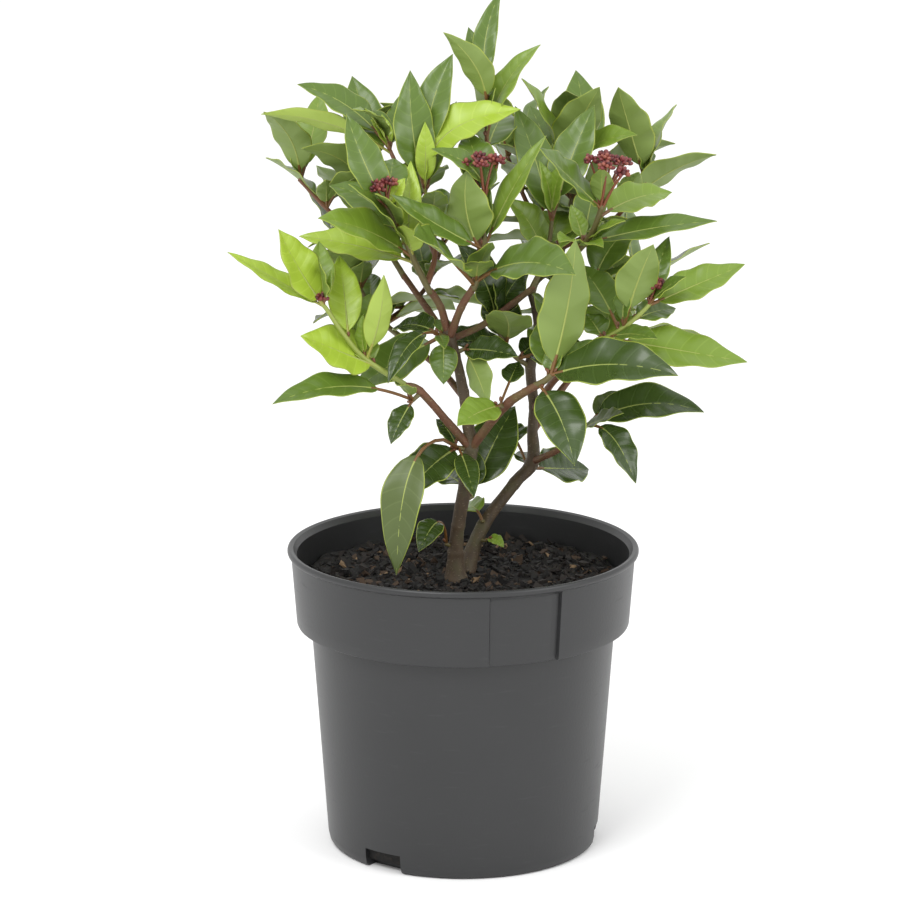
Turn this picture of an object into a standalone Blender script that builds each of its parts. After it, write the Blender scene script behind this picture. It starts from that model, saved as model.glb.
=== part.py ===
"""A young laurustinus in a plain nursery pot.

Two woody stems rise from the potting mix and fork into boughs. Each bough
carries a mass of opposite leaves on green twigs, some with a head of buds.
Sizes are in millimetres and turned to metres as each mesh is made.
The front of the plant is towards -Y and the origin is under the pot.
"""

import math
import random

import bmesh
import bpy
import numpy as np
from mathutils import Vector
from mathutils.bvhtree import BVHTree

MM = 0.001
WELD = 0.00001
GAP = 0.3
LIMB_STEPS = 2

# Pot
POT_HEIGHT = 121.8
LIP_RADIUS = 70.2
COLLAR_TOP_RADIUS = 68.6
COLLAR_FOOT_RADIUS = 66.6
COLLAR_FOOT_HEIGHT = 90.5
BODY_TOP_RADIUS = 60.8
BODY_FOOT_RADIUS = 54.6
POT_WALL = 2.0
POT_FLOOR = 2.6
POT_SIDES = 48
DRAIN_BEARINGS = (234.0, 354.0, 114.0)
DRAIN_WIDTH = 17.0
DRAIN_HEIGHT = 8.0
PANEL_FROM = 278.5
PANEL_TO = 303.5
PANEL_DEPTH = 0.9

# Potting mix
SOIL_TOP = 109.5
SOIL_RIPPLE = 0.9

# Leaves
LEAF_THICKNESS = 0.9
LEAF_FOLD = 0.22
STALK_RADIUS = 0.62
BLADE_PLACES = (0.0, 0.3, 0.7)
LEAF_ROOM = 0.25
FRONT = 270
SWIVELS = ((0, 0), (8, 0), (-8, 0), (0, 8), (0, -8), (14, 6), (-14, 6), (14, -8), (-14, -8), (22, 0), (-22, 0),
           (0, 16), (0, -16), (30, 8), (-30, 8), (32, -8), (-32, -8), (44, 0), (-44, 0))

# Each woody limb: the points that it passes through and its radius at each of them.
STEMS = {
    "stem_front": {
        "path": [(-3, -4, 106), (-3, -4, 120), (-2, -4, 131), (1, -5, 149), (3, -6, 163), (2, -6, 172),
                 (0, -5, 186), (-3, -3, 200), (-6, -2, 210)],
        "radii": [4.1, 3.0, 2.7, 2.6, 2.9, 2.3, 2.1, 1.9, 2.1],
    },
    "stem_back": {
        "path": [(0, 7, 107), (8, 14, 126), (21, 22, 142), (28, 25, 150), (28, 24, 164), (28.5, 24, 173),
                 (27, 22, 191), (30, 22, 201), (29, 20, 213), (27, 18, 221)],
        "radii": [3.6, 2.6, 2.4, 2.8, 2.1, 2.0, 2.2, 1.7, 1.6, 1.5],
    },
}
BOUGHS = {
    "bough_left": {"on": "stem_front", "path": [(3, -6, 163), (-6, -12, 175), (-17, -18, 189), (-23, -21, 192)],
                   "radii": [1.9, 1.5, 1.6, 1.3]},
    "bough_right": {"on": "stem_front", "path": [(3, -6, 163), (12, -14, 177), (18, -20, 185), (24, -24, 190),
                                                 (29, -27, 193.5)], "radii": [2.0, 1.7, 1.8, 1.5, 1.5]},
    "bough_top_left": {"on": "stem_front", "path": [(-6, -2, 209), (-9, -5, 220), (-13, -8, 227)],
                       "radii": [1.6, 1.5, 1.4]},
    "bough_top_right": {"on": "stem_front", "path": [(-5, -3, 208), (-1, -8, 220), (4, -11, 229)],
                        "radii": [1.6, 1.5, 1.4]},
    "bough_middle": {"on": "stem_front", "path": [(-5, -1, 206), (7, 6, 210), (19, 9, 218), (28, 10, 225)],
                     "radii": [1.4, 1.3, 1.3, 1.2]},
    "bough_far_right": {"on": "stem_back", "path": [(28.5, 24, 172), (37, 6, 189), (47, -6, 201)],
                        "radii": [1.6, 1.4, 1.3]},
    "bough_low_right": {"on": "stem_back", "path": [(28, 25, 150), (34, 16, 155), (40, 12, 159)],
                        "radii": [1.5, 1.3, 1.2]},
    "bough_back_left": {"on": "stem_front", "path": [(-4, -2, 203), (-14, 14, 215), (-24, 30, 226)],
                        "radii": [1.5, 1.3, 1.2]},
    "bough_back": {"on": "stem_back", "path": [(30, 22, 200), (34, 35, 212), (38, 46, 223)],
                   "radii": [1.5, 1.3, 1.2]},
    "bough_low_back": {"on": "stem_back", "path": [(28, 24, 163), (40, 38, 177), (52, 50, 189)],
                       "radii": [1.6, 1.4, 1.3]},
    "bough_low_left": {"on": "stem_front", "path": [(0, -5, 184), (-10, 12, 192), (-24, 32, 199)],
                       "radii": [1.5, 1.3, 1.2]},
}

# A leaf row holds: place along its twig, bearing seen from above (0 is +X, 90 is the back), rise,
# length, width, arch, how far it turns its face to the light, its stalk's share, and sideways bow.
MASSES = {
    "leaves_left": {"on": "bough_top_left", "twigs": [
        {"path": [(-12.9, -8, 226), (-18, -12, 237), (-22, -16, 247), (-28, -18, 259), (-30, -18, 262)],
         "radii": (1.35, 0.9), "buds": (6, 9.0, 5.5, 2.3), "leaves": [
            (0.42, 210, 25, 46, 18, 0.06, 0.8, 0.12, 0),
            (0.46, 220, 45, 44, 11, 0.06, 0.5, 0.1, 0),
            (0.68, 180, 20, 43, 14, 0.1, 0.8, 0.1, 0),
            (0.36, 165, 10, 48, 15, 0.03, 0.6, 0.12, 0),
            (0.72, 210, 35, 26, 9, 0.1, 0.4, 0.1, 0),
            (0.97, 160, 65, 40, 14, 0.08, 0.9, 0.1, -0.12),
            (0.97, 85, 35, 28, 13, 0.1, 0.3, 0.15, 0),
            (0.55, 85, 70, 34, 9, 0.04, 0.5, 0.12, 0)]},
        {"path": [(-14, -9, 230), (-11, 0, 242), (-15, 6, 264)], "radii": (1.3, 0.8), "leaves": [
            (0.99, 135, 80, 48, 15, 0.05, 0.9, 0.16, -0.08),
            (1.0, 50, 80, 55, 13.5, 0.06, 0.8, 0.3, -0.04),
            (0.97, 0, 50, 50, 17, 0.24, 0.8, 0.22, 0),
            (0.98, 35, 75, 38, 8, 0.02, 0.3, 0.15, 0),
            (0.6, 265, 40, 30, 10, 0.08, 0.3, 0.15, 0),
            (0.45, 85, 30, 34, 13, 0.1, 0.6, 0.2, 0)]},
        {"path": [(-11, 0, 240), (-19, 18, 256), (-29, 26, 277)], "radii": (1.2, 0.8), "leaves": [
            (1.0, 175, 35, 45, 13, 0.1, 0.7, 0.2, 0),
            (0.97, 180, 25, 54, 9, 0.08, -0.5, 0.25, 0),
            (0.99, 230, 40, 30, 9, 0.16, 0.2, 0.2, 0),
            (1.0, 140, 45, 24, 12, 0.1, 0.6, 0.1, 0),
            (1.0, 80, 45, 30, 8, 0.05, 0.3, 0.1, 0)]},
    ]},
    "leaves_centre": {"on": "bough_top_right", "twigs": [
        {"path": [(3.8, -10.9, 228), (6, -13, 235), (8, -13, 245), (8, -12, 258), (8, -12, 265)],
         "radii": (1.35, 0.9), "buds": (6, 15.0, 7.5, 2.4), "leaves": [
            (0.05, 240, 30, 54, 23, 0.04, 0.9, 0.28, 0),
            (0.4, 180, 80, 34, 19, -0.1, -0.8, 0.16, 0),
            (0.1, 320, 10, 50, 21, 0.12, 0.8, 0.18, 0),
            (0.45, 180, 40, 44, 12, -0.02, 0.8, 0.12, 0),
            (0.46, 15, 60, 50, 10, 0.03, 0.4, 0.12, 0),
            (0.95, 180, 45, 29, 9, 0.2, 0.6, 0.2, 0),
            (1.0, 125, 55, 30, 14, 0.1, 0.8, 0.1, 0)]},
        {"path": [(6, -13, 235), (7, 4, 253), (9, 12, 275), (9, 12, 303)], "radii": (1.2, 0.75), "leaves": [
            (0.93, 215, 55, 36, 11, -0.02, -0.7, 0.1, 0.14),
            (0.97, 110, 50, 32, 9, 0.03, 0.7, 0.1, 0),
            (1.0, 65, 62, 40, 8.5, -0.04, 0.7, 0.12, -0.1),
            (0.74, 10, 60, 43, 12, 0.1, 0.4, 0.14, 0),
            (0.68, 75, 20, 34, 15, 0.06, 0.8, 0.1, 0)]},
    ]},
    "leaves_upper_right": {"on": "bough_middle", "twigs": [
        {"path": [(27, 9.9, 224), (33, 12, 237), (35, 12, 251)], "radii": (1.2, 0.8), "leaves": [
            (0.98, 125, 60, 50, 15, 0.04, 0.6, 0.1, 0),
            (0.4, 190, 60, 30, 15, 0.1, 0.8, 0.12, 0),
            (1.0, 55, 60, 50, 15, 0.04, 0.8, 0.2, 0),
            (0.6, 75, 20, 30, 14, 0.1, 0.6, 0.1, 0)]},
        {"path": [(33, 12, 237), (36, 36, 251), (40, 44, 267)], "radii": (1.1, 0.8), "leaves": [
            (1.0, 220, 60, 44, 15, 0.05, 0.6, 0.1, 0),
            (0.98, 320, 70, 40, 17, 0.04, -0.8, 0.12, 0),
            (0.9, 325, 30, 42, 14, 0.12, 0.7, 0.15, 0),
            (0.8, 115, 50, 40, 14, 0.08, 0.6, 0.1, 0)]},
    ]},
    "leaves_right": {"on": "stem_back", "twigs": [
        {"path": [(27.2, 18.2, 220), (30, 16, 227), (40, 4, 236), (49, -8, 248), (54, -14, 262)],
         "radii": (1.4, 1.1), "buds": (8, 19.0, 9.0, 2.6), "leaves": [
            (0.97, 220, 40, 42, 15, -0.03, 0.9, 0.06, -0.06),
            (0.9, 35, 10, 37, 14, 0.07, 0.8, 0.14, 0),
            (0.66, 0, 10, 53, 12, 0.03, 0.5, 0.12, 0),
            (0.62, 295, 10, 20, 7, 0.1, 0.5, 0.1, 0),
            (0.66, 75, 40, 34, 12, 0.08, 0.6, 0.15, 0),
            (0.62, 245, 15, 22, 9, 0.1, 0.5, 0.2, 0)]},
    ]},
    "leaves_far_right": {"on": "bough_far_right", "twigs": [
        {"path": [(46, -5, 200), (55, -11, 208), (62, -14, 213), (69, -14, 219), (73, -13, 223)],
         "radii": (1.2, 0.8), "buds": (4, 8.0, 2.5, 1.9), "leaves": [
            (0.62, 310, 65, 39, 15, 0.03, -0.9, 0.22, 0),
            (0.97, 60, 55, 30, 9, 0.05, 0.8, 0.1, 0),
            (0.97, 15, 20, 42, 14, 0, 0.8, 0.1, 0),
            (0.72, 40, 5, 24, 11, 0.05, 0.7, 0.15, 0),
            (0.35, 80, 20, 28, 19, 0.04, 0.9, 0.1, 0),
            (0.56, 115, 30, 40, 14, 0.06, 0.8, 0.2, 0),
            (0.4, 0, -10, 56, 17, 0, 0.9, 0.14, 0)]},
    ]},
    "leaves_middle_right": {"on": "bough_right", "twigs": [
        {"path": [(28, -26.4, 193), (31.5, -29, 195.5), (34, -30, 198)], "radii": (1.4, 1.2), "leaves": [
            (1.0, 335, 5, 53, 21, 0.08, 0.9, 0.03, 0),
            (0.95, 345, 80, 55, 19, -0.03, -0.9, 0.1, 0),
            (0.8, 90, 45, 28, 13, 0.1, 0.6, 0.15, 0),
            (0.2, 300, -45, 38, 17, 0.1, 0.7, 0.12, 0)]},
    ]},
    "leaves_low_right": {"on": "bough_low_right", "twigs": [
        {"path": [(39, 12.6, 158.3), (45, 8, 166), (51, 6, 171)], "radii": (1.1, 0.8), "leaves": [
            (1.0, 0, 5, 45, 17, 0.12, 0.7, 0.06, 0),
            (0.6, 310, 25, 30, 10, 0.03, 0.7, 0.2, 0),
            (0.4, 325, -25, 34, 12, 0.34, 0.4, 0.28, 0)]},
    ]},
    "leaves_lime": {"on": "bough_left", "twigs": [
        {"path": [(-22, -20.6, 191.6), (-38, -24, 203), (-46, -27, 213), (-53, -29, 224), (-55, -29, 226)],
         "radii": (1.2, 0.75), "buds": (2, 2.0, 1.0, 1.5), "leaves": [
            (0.97, 200, 60, 36, 17, -0.03, 0.9, 0.1, 0),
            (0.96, 180, 30, 43, 9, 0, 0.5, 0.08, 0),
            (0.99, 95, 50, 28, 10, 0.04, 0.5, 0.1, 0),
            (0.62, 100, 50, 38, 12, 0.06, 0.6, 0.1, 0),
            (0.4, 320, 75, 36, 10, -0.06, -0.6, 0.15, 0),
            (0.42, 85, 40, 32, 16, 0.06, 0.8, 0.15, 0),
            (0.3, 200, 25, 34, 20, 0, 0.9, 0.08, 0)]},
    ]},
    "leaves_left_low": {"on": "bough_left", "twigs": [
        {"path": [(-17, -18, 188), (-20, -20, 185.5)], "radii": (1.0, 0.8), "leaves": [
            (0.9, 210, 5, 62, 13, 0.1, 0.5, 0.26, 0),
            (0.9, 235, -45, 21, 8.5, 0.05, 0.6, 0.12, 0)]},
    ]},
    "leaves_fork_left": {"on": "stem_front", "twigs": [
        {"path": [(3, -6, 162.5), (-3, -8.5, 164)], "radii": (1.2, 1.0), "leaves": [
            (0.8, 235, -45, 60, 15, 0.36, 0.5, 0.3, 0),
            (0.9, 220, -30, 30, 17, 0.06, 0.9, 0.06, 0),
            (0.9, 130, 35, 16, 7, 0.1, 0.5, 0.1, 0)]},
    ]},
    "leaves_fork_right": {"on": "bough_right", "twigs": [
        {"path": [(16, -18, 183), (14, -22, 184)], "radii": (1.1, 0.9), "leaves": [
            (0.9, 225, -10, 24, 13, 0.05, 0.9, 0.05, 0),
            (0.9, 70, 30, 26, 8, 0.02, 0.5, 0.5, 0)]},
    ]},
    "leaves_low_front": {"on": "stem_front", "twigs": [
        {"path": [(0, -4.5, 141), (4, -1.5, 142.5)], "radii": (1.0, 0.8), "leaves": [
            (0.9, 50, 50, 42, 19, 0.05, 0.9, 0.12, 0),
            (0.9, 120, 5, 30, 13, 0.1, 0.8, 0.3, 0)]},
    ]},
    "leaves_foot": {"on": "stem_front", "twigs": [
        {"path": [(-3, -4, 122), (-7, -6, 124)], "radii": (0.9, 0.7), "leaves": [
            (0.9, 240, 5, 22, 9, 0.45, 0.6, 0.35, 0)]},
    ]},
    "leaves_foot_back": {"on": "stem_back", "twigs": [
        {"path": [(9, 14.5, 127.5), (7.5, 11, 129)], "radii": (0.9, 0.7), "leaves": [
            (0.6, 50, 35, 21, 12, 0.05, 0.9, 0.1, 0),
            (0.9, 120, 5, 18, 11, 0.2, 0.6, 0.2, 0)]},
    ]},
    "leaves_sprout": {"on": "stem_back", "twigs": [
        {"path": [(5.5, 12, 121), (9.5, 8.5, 121.5)], "radii": (0.8, 0.6), "leaves": [
            (0.9, 325, -10, 9, 5, 0.2, 0.5, 0.1, 0),
            (0.9, 90, 25, 8, 4, 0.2, 0.5, 0.1, 0)]},
    ]},
    "leaves_upper_front": {"on": "stem_front", "twigs": [
        {"path": [(-5.5, -2, 207), (-10, -6, 209)], "radii": (1.1, 0.9), "leaves": [
            (0.9, 230, -25, 34, 9, 0.2, 0.3, 0.2, 0),
            (0.6, 190, -30, 40, 18, 0.02, 0.9, 0.14, 0),
            (0.8, 130, -5, 30, 12, 0.1, 0.6, 0.15, 0),
            (0.5, 270, -60, 20, 10, 0.1, 0.6, 0.2, 0)]},
    ]},
    "leaves_middle": {"on": "stem_front", "twigs": [
        {"path": [(-3, -3, 201), (1.5, -2.5, 203)], "radii": (1.0, 0.8), "leaves": [
            (0.6, 330, 0, 25, 12, 0.04, 0.9, 0.04, 0),
            (0.8, 295, -40, 28, 11, 0.04, -0.8, 0.15, 0)]},
    ]},
    "leaves_node": {"on": "stem_back", "twigs": [
        {"path": [(28, 25, 148), (26, 31, 146)], "radii": (1.1, 0.9), "leaves": [
            (0.9, 40, -10, 34, 19, 0, 0.8, 0.2, 0),
            (0.9, 115, 30, 26, 12, 0.1, 0.5, 0.5, 0)]},
    ]},
    # The far side follows the rule alone: pairs of leaves, each pair turned a quarter from the last.
    "leaves_back_left": {"on": "bough_back_left", "sun": 120, "twigs": [
        {"path": [(-23.4, 29, 225), (-33, 42, 240), (-38, 50, 262)], "radii": (1.25, 0.8),
         "rule": (11, 4, 46, 17, 30)},
        {"path": [(-31, 40, 236), (-50, 44, 246), (-66, 46, 262)], "radii": (1.1, 0.8),
         "rule": (12, 3, 42, 15, 75)},
        {"path": [(-31, 40, 236), (-22, 56, 246), (-12, 64, 262)], "radii": (1.1, 0.8),
         "rule": (13, 3, 42, 15, 10)},
    ]},
    "leaves_back": {"on": "bough_back", "sun": 80, "twigs": [
        {"path": [(37.7, 45, 222), (42, 56, 238), (46, 64, 262)], "radii": (1.25, 0.8),
         "rule": (21, 4, 46, 17, 0)},
        {"path": [(41, 53, 233), (60, 50, 244), (74, 46, 262)], "radii": (1.1, 0.8),
         "rule": (22, 3, 44, 16, 60)},
        {"path": [(41, 53, 233), (28, 64, 246), (18, 70, 268)], "radii": (1.1, 0.8),
         "rule": (23, 3, 44, 16, 35)},
    ]},
    "leaves_low_back": {"on": "bough_low_back", "sun": 60, "twigs": [
        {"path": [(51, 49, 188), (62, 56, 200), (70, 58, 220)], "radii": (1.25, 0.8),
         "rule": (31, 4, 46, 18, 20)},
        {"path": [(58, 54, 195), (44, 68, 204), (34, 76, 220)], "radii": (1.1, 0.8),
         "rule": (32, 3, 42, 16, 50)},
    ]},
    "leaves_low_back_left": {"on": "bough_low_left", "sun": 130, "twigs": [
        {"path": [(-23, 30.6, 198.6), (-36, 42, 208), (-46, 48, 226)], "radii": (1.25, 0.8),
         "rule": (41, 4, 46, 18, 45)},
        {"path": [(-32, 39, 204), (-16, 58, 214), (-8, 66, 232)], "radii": (1.1, 0.8),
         "rule": (42, 3, 42, 16, 15)},
    ]},
    "leaves_inner": {"on": "stem_back", "sun": 270, "twigs": [
        {"path": [(27, 22, 190), (20, 17, 196), (13, 12, 208)], "radii": (1.1, 0.8),
         "rule": (51, 3, 36, 16, 0)},
    ]},
    "leaves_inner_right": {"on": "stem_back", "sun": 330, "twigs": [
        {"path": [(29.5, 21, 207), (40, 22, 213), (52, 20, 224)], "radii": (1.1, 0.8),
         "rule": (61, 3, 40, 16, 40)},
    ]},
}

COLOURS = {
    "pot": ((0.045, 0.047, 0.052), 0.42),
    "soil": ((0.018, 0.015, 0.012), 0.95),
    "stem": ((0.13, 0.085, 0.045), 0.75),
    "bough": ((0.19, 0.075, 0.045), 0.6),
    "leaves": ((0.075, 0.17, 0.025), 0.38),
    "leaves_lime": ((0.22, 0.4, 0.03), 0.4),
}


def unit(v):
    return v / np.linalg.norm(v)


def heading(bearing, rise):
    """The direction that points this many degrees round from +X and this many up."""
    b, r = math.radians(bearing), math.radians(rise)
    return np.array([math.cos(r) * math.cos(b), math.cos(r) * math.sin(b), math.sin(r)])


def smooth_path(points, steps):
    """A Catmull-Rom curve through the points, with this many pieces between each two."""
    p = np.array(points, float)
    if len(p) == 2:
        t = np.linspace(0, 1, steps + 1)[:, None]
        return p[0] * (1 - t) + p[1] * t
    q = np.vstack([2 * p[0] - p[1], p, 2 * p[-1] - p[-2]])
    out = []
    for i in range(len(p) - 1):
        a, b, c, d = q[i:i + 4]
        for k in range(steps):
            t = k / steps
            out.append(0.5 * (2 * b + (c - a) * t + (2 * a - 5 * b + 4 * c - d) * t ** 2
                              + (3 * b - a - 3 * c + d) * t ** 3))
    out.append(p[-1])
    return np.array(out)


def point_along(path, t):
    run = np.concatenate([[0], np.cumsum(np.linalg.norm(np.diff(path, axis=0), axis=1))])
    return np.array([np.interp(t * run[-1], run, path[:, i]) for i in range(3)])


def leaf_section(places, bearing, rise, length, arch, face, stalk, bow, sun):
    """The midrib and its side and upward directions at these places, 0 at the twig and 1 at the tip."""
    u = np.asarray(places, float)
    ahead = heading(bearing, rise)
    up = heading(bearing, rise + 90)
    light = heading(sun, 28)
    towards = up + 1.8 * face * light
    towards = unit(towards - ahead * (towards @ ahead))
    across = np.cross(ahead, up)
    turn = math.atan2(towards @ across, towards @ up)
    sideways = np.cross(ahead, towards)
    sideways = sideways if sideways[0] >= 0 else -sideways
    early = 0.6 if arch >= 0.3 else 0.8 if arch >= 0.2 else 1.0
    late = 1.1 if arch >= 0.2 else 1.0
    peak = early / (early + late)
    hump = u ** early * (1 - u) ** late / (peak ** early * (1 - peak) ** late)
    middle = (np.outer(u, ahead) + np.outer(hump * arch, up) + np.outer(hump * bow, sideways)) * length
    fine = np.linspace(0, 1, 41)
    fine_hump = fine ** early * (1 - fine) ** late / (peak ** early * (1 - peak) ** late)
    curve = np.outer(fine, ahead) + np.outer(fine_hump * arch, up) + np.outer(fine_hump * bow, sideways)
    slope = np.gradient(curve, axis=0)
    along = np.array([np.interp(u, fine, slope[:, i]) for i in range(3)]).T
    along /= np.linalg.norm(along, axis=1)[:, None]
    top = np.cross(across, along)
    top /= np.linalg.norm(top, axis=1)[:, None]
    angle = turn * np.clip(u / max(stalk, 0.05), 0, 1)
    side = across * np.cos(angle)[:, None] - top * np.sin(angle)[:, None]
    top = top * np.cos(angle)[:, None] + across * np.sin(angle)[:, None]
    return middle, side, top


def half_width(v, width):
    """Half the blade's width at v along it: widest at 0.4, drawn out to a point."""
    return width / 2 * v ** 0.7 * (1 - v) ** 1.05 / (0.4 ** 0.7 * 0.6 ** 1.05)


def leaf_shape(root, row, sun, extra=0.0):
    """Points and faces of a closed leaf: four-cornered sections from its stalk to its tip."""
    _, bearing, rise, length, width, arch, face, stalk, bow = row
    blade = [stalk + (1 - stalk) * v for v in BLADE_PLACES]
    middle, side, top = leaf_section([0.0] + blade + [1.0], bearing, rise, length, arch, face, stalk, bow, sun)
    half = [STALK_RADIUS] + [max(STALK_RADIUS, half_width(v, width)) for v in BLADE_PLACES]
    flat = len(BLADE_PLACES) - 1
    thick = [2 * STALK_RADIUS] * 2 + [LEAF_THICKNESS] * flat
    fold = [0.0, 0.05] + [LEAF_FOLD] * flat
    points, faces = [], []
    for k, (w, t, f) in enumerate(zip(half, thick, fold)):
        centre = root + middle[k]
        w, t = w + extra, t + 2 * extra
        lift = top[k] * w * f
        points += [centre + side[k] * w + lift, centre + top[k] * t / 2,
                   centre - side[k] * w + lift, centre - top[k] * t / 2]
    points.append(root + middle[-1])
    for k in range(len(half) - 1):
        for j in range(4):
            a, b = 4 * k + j, 4 * k + (j + 1) % 4
            faces.append((a, b, b + 4, a + 4))
    last, tip = 4 * (len(half) - 1), len(points) - 1
    faces += [(last + j, last + (j + 1) % 4, tip) for j in range(4)]
    faces.append((3, 2, 1, 0))
    return np.array(points), faces


def ruled_leaves(seed, pairs, length, width, turn):
    """Leaf rows for a twig that follows the rule: opposite pairs, each turned a quarter from the last."""
    draw = random.Random(seed)
    rows = []
    for k in range(pairs):
        place = 0.3 + 0.68 * k / (pairs - 1)
        for side in (0, 180):
            rows.append((
                place, turn + 90 * k + side + draw.uniform(-14, 14),
                5 + 55 * place ** 2 + draw.uniform(-14, 10), length * draw.uniform(0.78, 1.05),
                width * draw.uniform(0.85, 1.1), draw.uniform(0.03, 0.14), draw.uniform(0.2, 0.8),
                draw.uniform(0.1, 0.18), draw.uniform(-0.06, 0.06)))
    return rows


def new_object(name, points, faces, collection):
    mesh = bpy.data.meshes.new(name)
    mesh.from_pydata([Vector(p) * MM for p in points], [], faces)
    mesh.update()
    built = bmesh.new()
    built.from_mesh(mesh)
    bmesh.ops.recalc_face_normals(built, faces=built.faces)
    built.to_mesh(mesh)
    built.free()
    obj = bpy.data.objects.new(name, mesh)
    collection.objects.link(obj)
    return obj


def mesh_of(obj, collection, weld=0.0):
    """The object's evaluated shape as a mesh object of its own, which takes its place."""
    graph = bpy.context.evaluated_depsgraph_get()
    mesh = bpy.data.meshes.new_from_object(obj.evaluated_get(graph))
    built = bmesh.new()
    built.from_mesh(mesh)
    if weld:
        bmesh.ops.remove_doubles(built, verts=built.verts, dist=weld)
        bmesh.ops.recalc_face_normals(built, faces=built.faces)
    built.to_mesh(mesh)
    built.free()
    solid = bpy.data.objects.new(obj.name, mesh)
    solid.matrix_world = obj.matrix_world
    name = obj.name
    bpy.data.objects.remove(obj)
    solid.name = name
    collection.objects.link(solid)
    return solid


def tube(name, points, radii, collection, roundness=2):
    """A tapering limb: a curve through the points with a round bevel and filled ends."""
    curve = bpy.data.curves.new(name, "CURVE")
    curve.dimensions = "3D"
    curve.bevel_depth = MM
    curve.bevel_resolution = roundness
    curve.use_fill_caps = True
    spline = curve.splines.new("POLY")
    spline.points.add(len(points) - 1)
    for place, (point, radius) in enumerate(zip(points, radii)):
        spline.points[place].co = (*(Vector(point) * MM), 1)
        spline.points[place].radius = radius
    obj = bpy.data.objects.new(name, curve)
    collection.objects.link(obj)
    bpy.context.view_layer.update()
    return mesh_of(obj, collection, WELD)


def limb_lines(limb, steps):
    """The limb's smoothed path and the radius at each of its points."""
    path = smooth_path(limb["path"], steps)
    knots = np.linspace(0, 1, len(limb["radii"]))
    return path, np.interp(np.linspace(0, 1, len(path)), knots, limb["radii"])


def cut(obj, cutter):
    change = obj.modifiers.new("cut", "BOOLEAN")
    change.operation = "DIFFERENCE"
    change.object = cutter


def helper(obj):
    obj.hide_render = True
    obj.display_type = "WIRE"
    return obj


def move_to(obj, collection):
    for holder in list(obj.users_collection):
        holder.objects.unlink(obj)
    collection.objects.link(obj)


def clearance(name, limb, cutters):
    """A cutter that holds a limb and the gap all round it, past its tip as well."""
    path, radii = limb_lines(limb, LIMB_STEPS)
    beyond = path[-1] + unit(path[-1] - path[-2]) * GAP
    return helper(tube(name, np.vstack([path, beyond]), np.append(radii, radii[-1]) + GAP, cutters))


def tree_of(points, faces):
    return BVHTree.FromPolygons([Vector(p) for p in points], faces)


def tree_of_object(obj):
    mesh = obj.data
    points = np.empty(len(mesh.vertices) * 3)
    mesh.vertices.foreach_get("co", points)
    return tree_of(points.reshape(-1, 3) / MM, [tuple(f.vertices) for f in mesh.polygons])


def keep_main_body(obj):
    """Drops loose scraps and sealed hollows, so that the mass is one closed body."""
    built = bmesh.new()
    built.from_mesh(obj.data)
    left, groups = set(built.verts), []
    while left:
        grown, edge = set(), [left.pop()]
        while edge:
            here = edge.pop()
            grown.add(here)
            for link in here.link_edges:
                there = link.other_vert(here)
                if there in left:
                    left.remove(there)
                    edge.append(there)
        groups.append(grown)
    groups.sort(key=len, reverse=True)
    loose = [v for group in groups[1:] for v in group]
    bmesh.ops.delete(built, geom=loose, context="VERTS")
    bmesh.ops.triangulate(built, faces=built.faces)
    built.to_mesh(obj.data)
    built.free()


def material(kind):
    colour, rough = COLOURS[kind]
    made = bpy.data.materials.new(kind)
    made.use_nodes = True
    shader = made.node_tree.nodes["Principled BSDF"]
    shader.inputs["Base Color"].default_value = (*colour, 1)
    shader.inputs["Roughness"].default_value = rough
    shader.inputs["Metallic"].default_value = 0.0
    made.diffuse_color = (*colour, 1)
    return made


def turned(name, profile, collection, sides=POT_SIDES):
    """A closed outline of (radius, height), turned about Z."""
    mesh = bpy.data.meshes.new(name)
    points = [(r * MM, 0, z * MM) for r, z in profile]
    on_axis = profile[0][0] == 0
    edges = [(i, i + 1) for i in range(len(points) - 1)]
    if not on_axis:
        edges.append((len(points) - 1, 0))
    mesh.from_pydata(points, edges, [])
    obj = bpy.data.objects.new(name, mesh)
    collection.objects.link(obj)
    screw = obj.modifiers.new("turn", "SCREW")
    screw.steps = sides
    screw.render_steps = sides
    screw.use_merge_vertices = True
    screw.merge_threshold = 0.00001
    bpy.context.view_layer.update()
    return mesh_of(obj, collection, WELD)


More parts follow.
